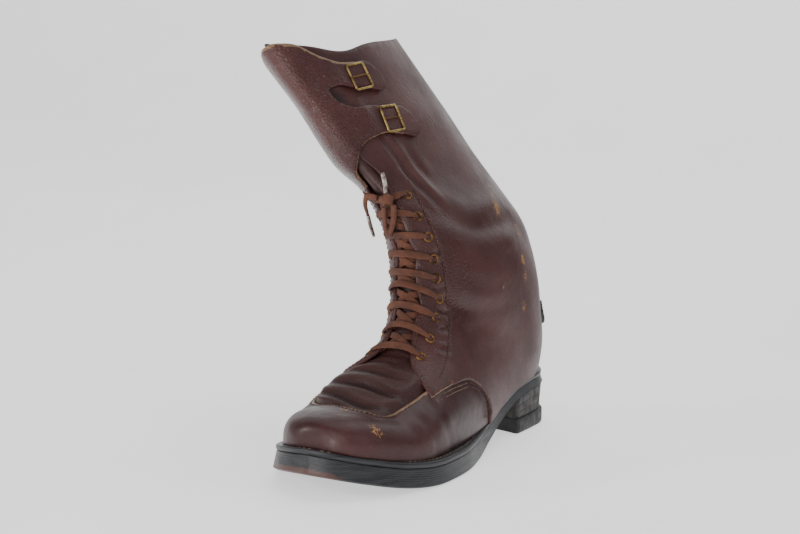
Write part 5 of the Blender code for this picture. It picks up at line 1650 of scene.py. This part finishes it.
freeLace = {
    # distance round, section and lift along each way
    "knot": (1.0, 16.3, 6.4),
    "loop": ((-1.4, 16.06, 6.2), (-4.5, 15.5, 6.0), (-6.0, 15.05, 5.8), (-4.4, 14.82, 5.8),
             (-2.2, 15.05, 5.8), (0.4, 15.5, 6.0), (2.6, 16.06, 6.2)),
    "end": ((-1.4, 16.51, 6.4), (-4.5, 16.72, 8.0), (-9.4, 16.42, 9.0), (-15.0, 15.98, 9.0)),
    "tips": {"up": ((2.2, 16.56, 6.2), (5.6, 17.05, 6.4), (9.4, 17.5, 6.4)),
             "down": ((-15.6, 15.93, 9.0), (-22.0, 15.4, 9.0), (-28.0, 14.95, 8.5))},
    "endStop": (-27.0, 15.03, 8.6), "bareShare": 0.5,
    "cordRadius": 1.4, "flatter": 0.8, "thickness": 1.9, "cordSteps": 40,
    "tipRadius": 1.5, "tipWaist": 0.18, "tipFlat": 0.85, "tipNose": (0.96, 0.8), "tipSteps": 24,
    # turns, reach and tilt of each wrap of the knot
    "wraps": ((1.3, 3.1, 0.35), (1.1, 2.5, -0.5)), "wrapStart": -0.6, "wrapSpread": 1.5, "wrapSteps": 46,
    "wrapShape": (1.25, 0.7), "wrapWidth": 3.8, "wrapThickness": 1.2,
}


def makeKnot(settings):
    roundDistance, section, lift = settings["knot"]
    middle, around, upward, outward = localAxes(toTurn(roundDistance, section), section, lift)
    wide, deep = settings["wrapShape"]
    steps, spread = settings["wrapSteps"], settings["wrapSpread"]
    strips = []
    for turns, reach, tilt in settings["wraps"]:
        angle = np.linspace(settings["wrapStart"], 2 * math.pi * turns, steps)
        axis = upward * math.cos(tilt) + around * math.sin(tilt)
        first = around * math.cos(tilt) - upward * math.sin(tilt)
        path = (middle + np.outer(np.cos(angle) * reach * wide, first)
                + np.outer(np.sin(angle) * reach * deep, outward)
                + np.outer(np.linspace(-spread, spread, steps), axis))
        normals = np.outer(np.cos(angle) * deep, first) + np.outer(np.sin(angle) * wide, outward)
        strips.append(ribbon("knotWrap", path, normals, settings["wrapWidth"], settings["wrapThickness"]))
    knot = joined(strips, "laceKnot")
    return settle(knot, (looks["lace"],), "rust_brown_lace", "lace_knot")


def makeTip(name, route, settings):
    steps = settings["tipSteps"]
    path, normals = routeOnForm(route, steps)
    share = np.linspace(0, 1, steps)
    noseFrom, nose = settings["tipNose"]
    waist = settings["tipWaist"]
    width = 2 * settings["tipRadius"] * (1 - waist + waist * np.sin(share * math.pi))
    width = width * np.where(share > noseFrom, nose, 1.0)
    tip = ribbon(f"laceTip{name.capitalize()}", path, normals, width, width * settings["tipFlat"])
    return settle(tip, (looks["tip"],), "lace_tip_metal", f"lace_tip_{name}")


def makeFreeLace(settings):
    knot = makeKnot(settings)
    tips = {name: makeTip(name, route, settings) for name, route in settings["tips"].items()}
    # the loop runs from the knot and back into it, and the end runs on inside its metal tip
    inTip = settings["tips"]["down"][:2] + (settings["endStop"],)
    ways = (("laceBowLoop", settings["loop"], "lace_bow_loop", "object", (knot, tips["up"])),
            ("laceEnd", settings["end"] + inTip, "lace_end", "fitting", (tips["down"],)))
    steps, radius = settings["cordSteps"], settings["cordRadius"]
    for name, route, node, farEnd, carried in ways:
        path, normals = routeOnForm(route, steps)
        wide = np.full(steps, 2 * radius + settings["flatter"])
        if farEnd == "fitting":
            wide = np.where(np.arange(steps) < steps * settings["bareShare"], wide, radius)
        piece = ribbon(name, path, normals, wide, settings["thickness"])
        settle(piece, (looks["lace"],), "rust_brown_lace", node)


makeFreeLace(freeLace)
print("eyelets and lace made")

# buckles

buckles = {"upper": (45.1, 20.95), "lower": (48.6, 19.64)}
buckleShape = {"width": 16.5, "height": 19.0, "wire": 0.85, "corner": 1.5, "cornerSteps": 5, "prong": 0.5,
               "tilt": 11.0, "clear": 0.15, "bend": 0.012, "flatten": 0.85, "prongArch": 0.6,
               "prongCurl": 0.5, "prongSteps": 15}


def roundedRectangle(halfWidth, halfHeight, radius, steps):
    corners = []
    for quarter, (sx, sy) in enumerate(((1, 1), (-1, 1), (-1, -1), (1, -1))):
        for step in range(steps + 1):
            angle = math.radians(90.0 * quarter + 90.0 * step / steps)
            corners.append((sx * (halfWidth - radius) + radius * math.cos(angle),
                            sy * (halfHeight - radius) + radius * math.sin(angle)))
    return corners


def wireMesh(name, points, radius, cyclic):
    curve = bpy.data.curves.new(name, "CURVE")
    curve.dimensions = "3D"
    curve.bevel_depth = radius * mm
    curve.bevel_resolution = 3
    curve.use_fill_caps = True
    spline = curve.splines.new("POLY")
    spline.points.add(len(points) - 1)
    for spot, place in zip(spline.points, points):
        spot.co = (*(np.asarray(place) * mm), 1.0)
    spline.use_cyclic_u = cyclic
    thing = bpy.data.objects.new(name, curve)
    bpy.context.scene.collection.objects.link(thing)
    choose(thing)
    bpy.ops.object.convert(target="MESH")
    bpy.ops.object.shade_smooth()
    return bpy.context.object


def makeBuckles(shape):
    wire = shape["wire"]
    reach = shape["width"] / 2 - wire
    outline = roundedRectangle(reach, shape["height"] / 2 - wire, shape["corner"], shape["cornerSteps"])
    frameLine = [(x, y, -shape["bend"] * x * x) for x, y in outline]
    # the prong arches over the strap and curls round the frame's bar
    prongLine = [(reach * t, 0.0,
                  shape["prongArch"] * (1 - t * t) + (shape["prongCurl"] if t < -0.9 else 0.0))
                 for t in np.linspace(-1.0, 1.0, shape["prongSteps"])]
    flapTop = upperCut["legOuterLift"] + upperCut["flapLift"]
    for name, (roundDistance, section) in buckles.items():
        turn = 2.0 + toTurn(roundDistance, section)
        point, around, upward, outward = spotOnLeg(turn, section, flapTop + wire + shape["clear"])
        tilt = Matrix.Rotation(math.radians(shape["tilt"]), 4, "Z")
        place = placeMatrix(around, upward, outward, point) @ tilt
        ring = wireMesh(f"buckleFrame{name.capitalize()}", frameLine, wire, True)
        ring.data.transform(place @ Matrix.Diagonal((1.0, 1.0, shape["flatten"], 1.0)))
        settle(ring, (looks["brass"],), "aged_brass", f"buckle_frame_{name}")
        prong = wireMesh(f"buckleProng{name.capitalize()}", prongLine, shape["prong"], False)
        prong.data.transform(place)
        settle(prong, (looks["eyeletBrass"],), "aged_brass", f"buckle_prong_{name}")


makeBuckles(buckleShape)
print("buckles made")
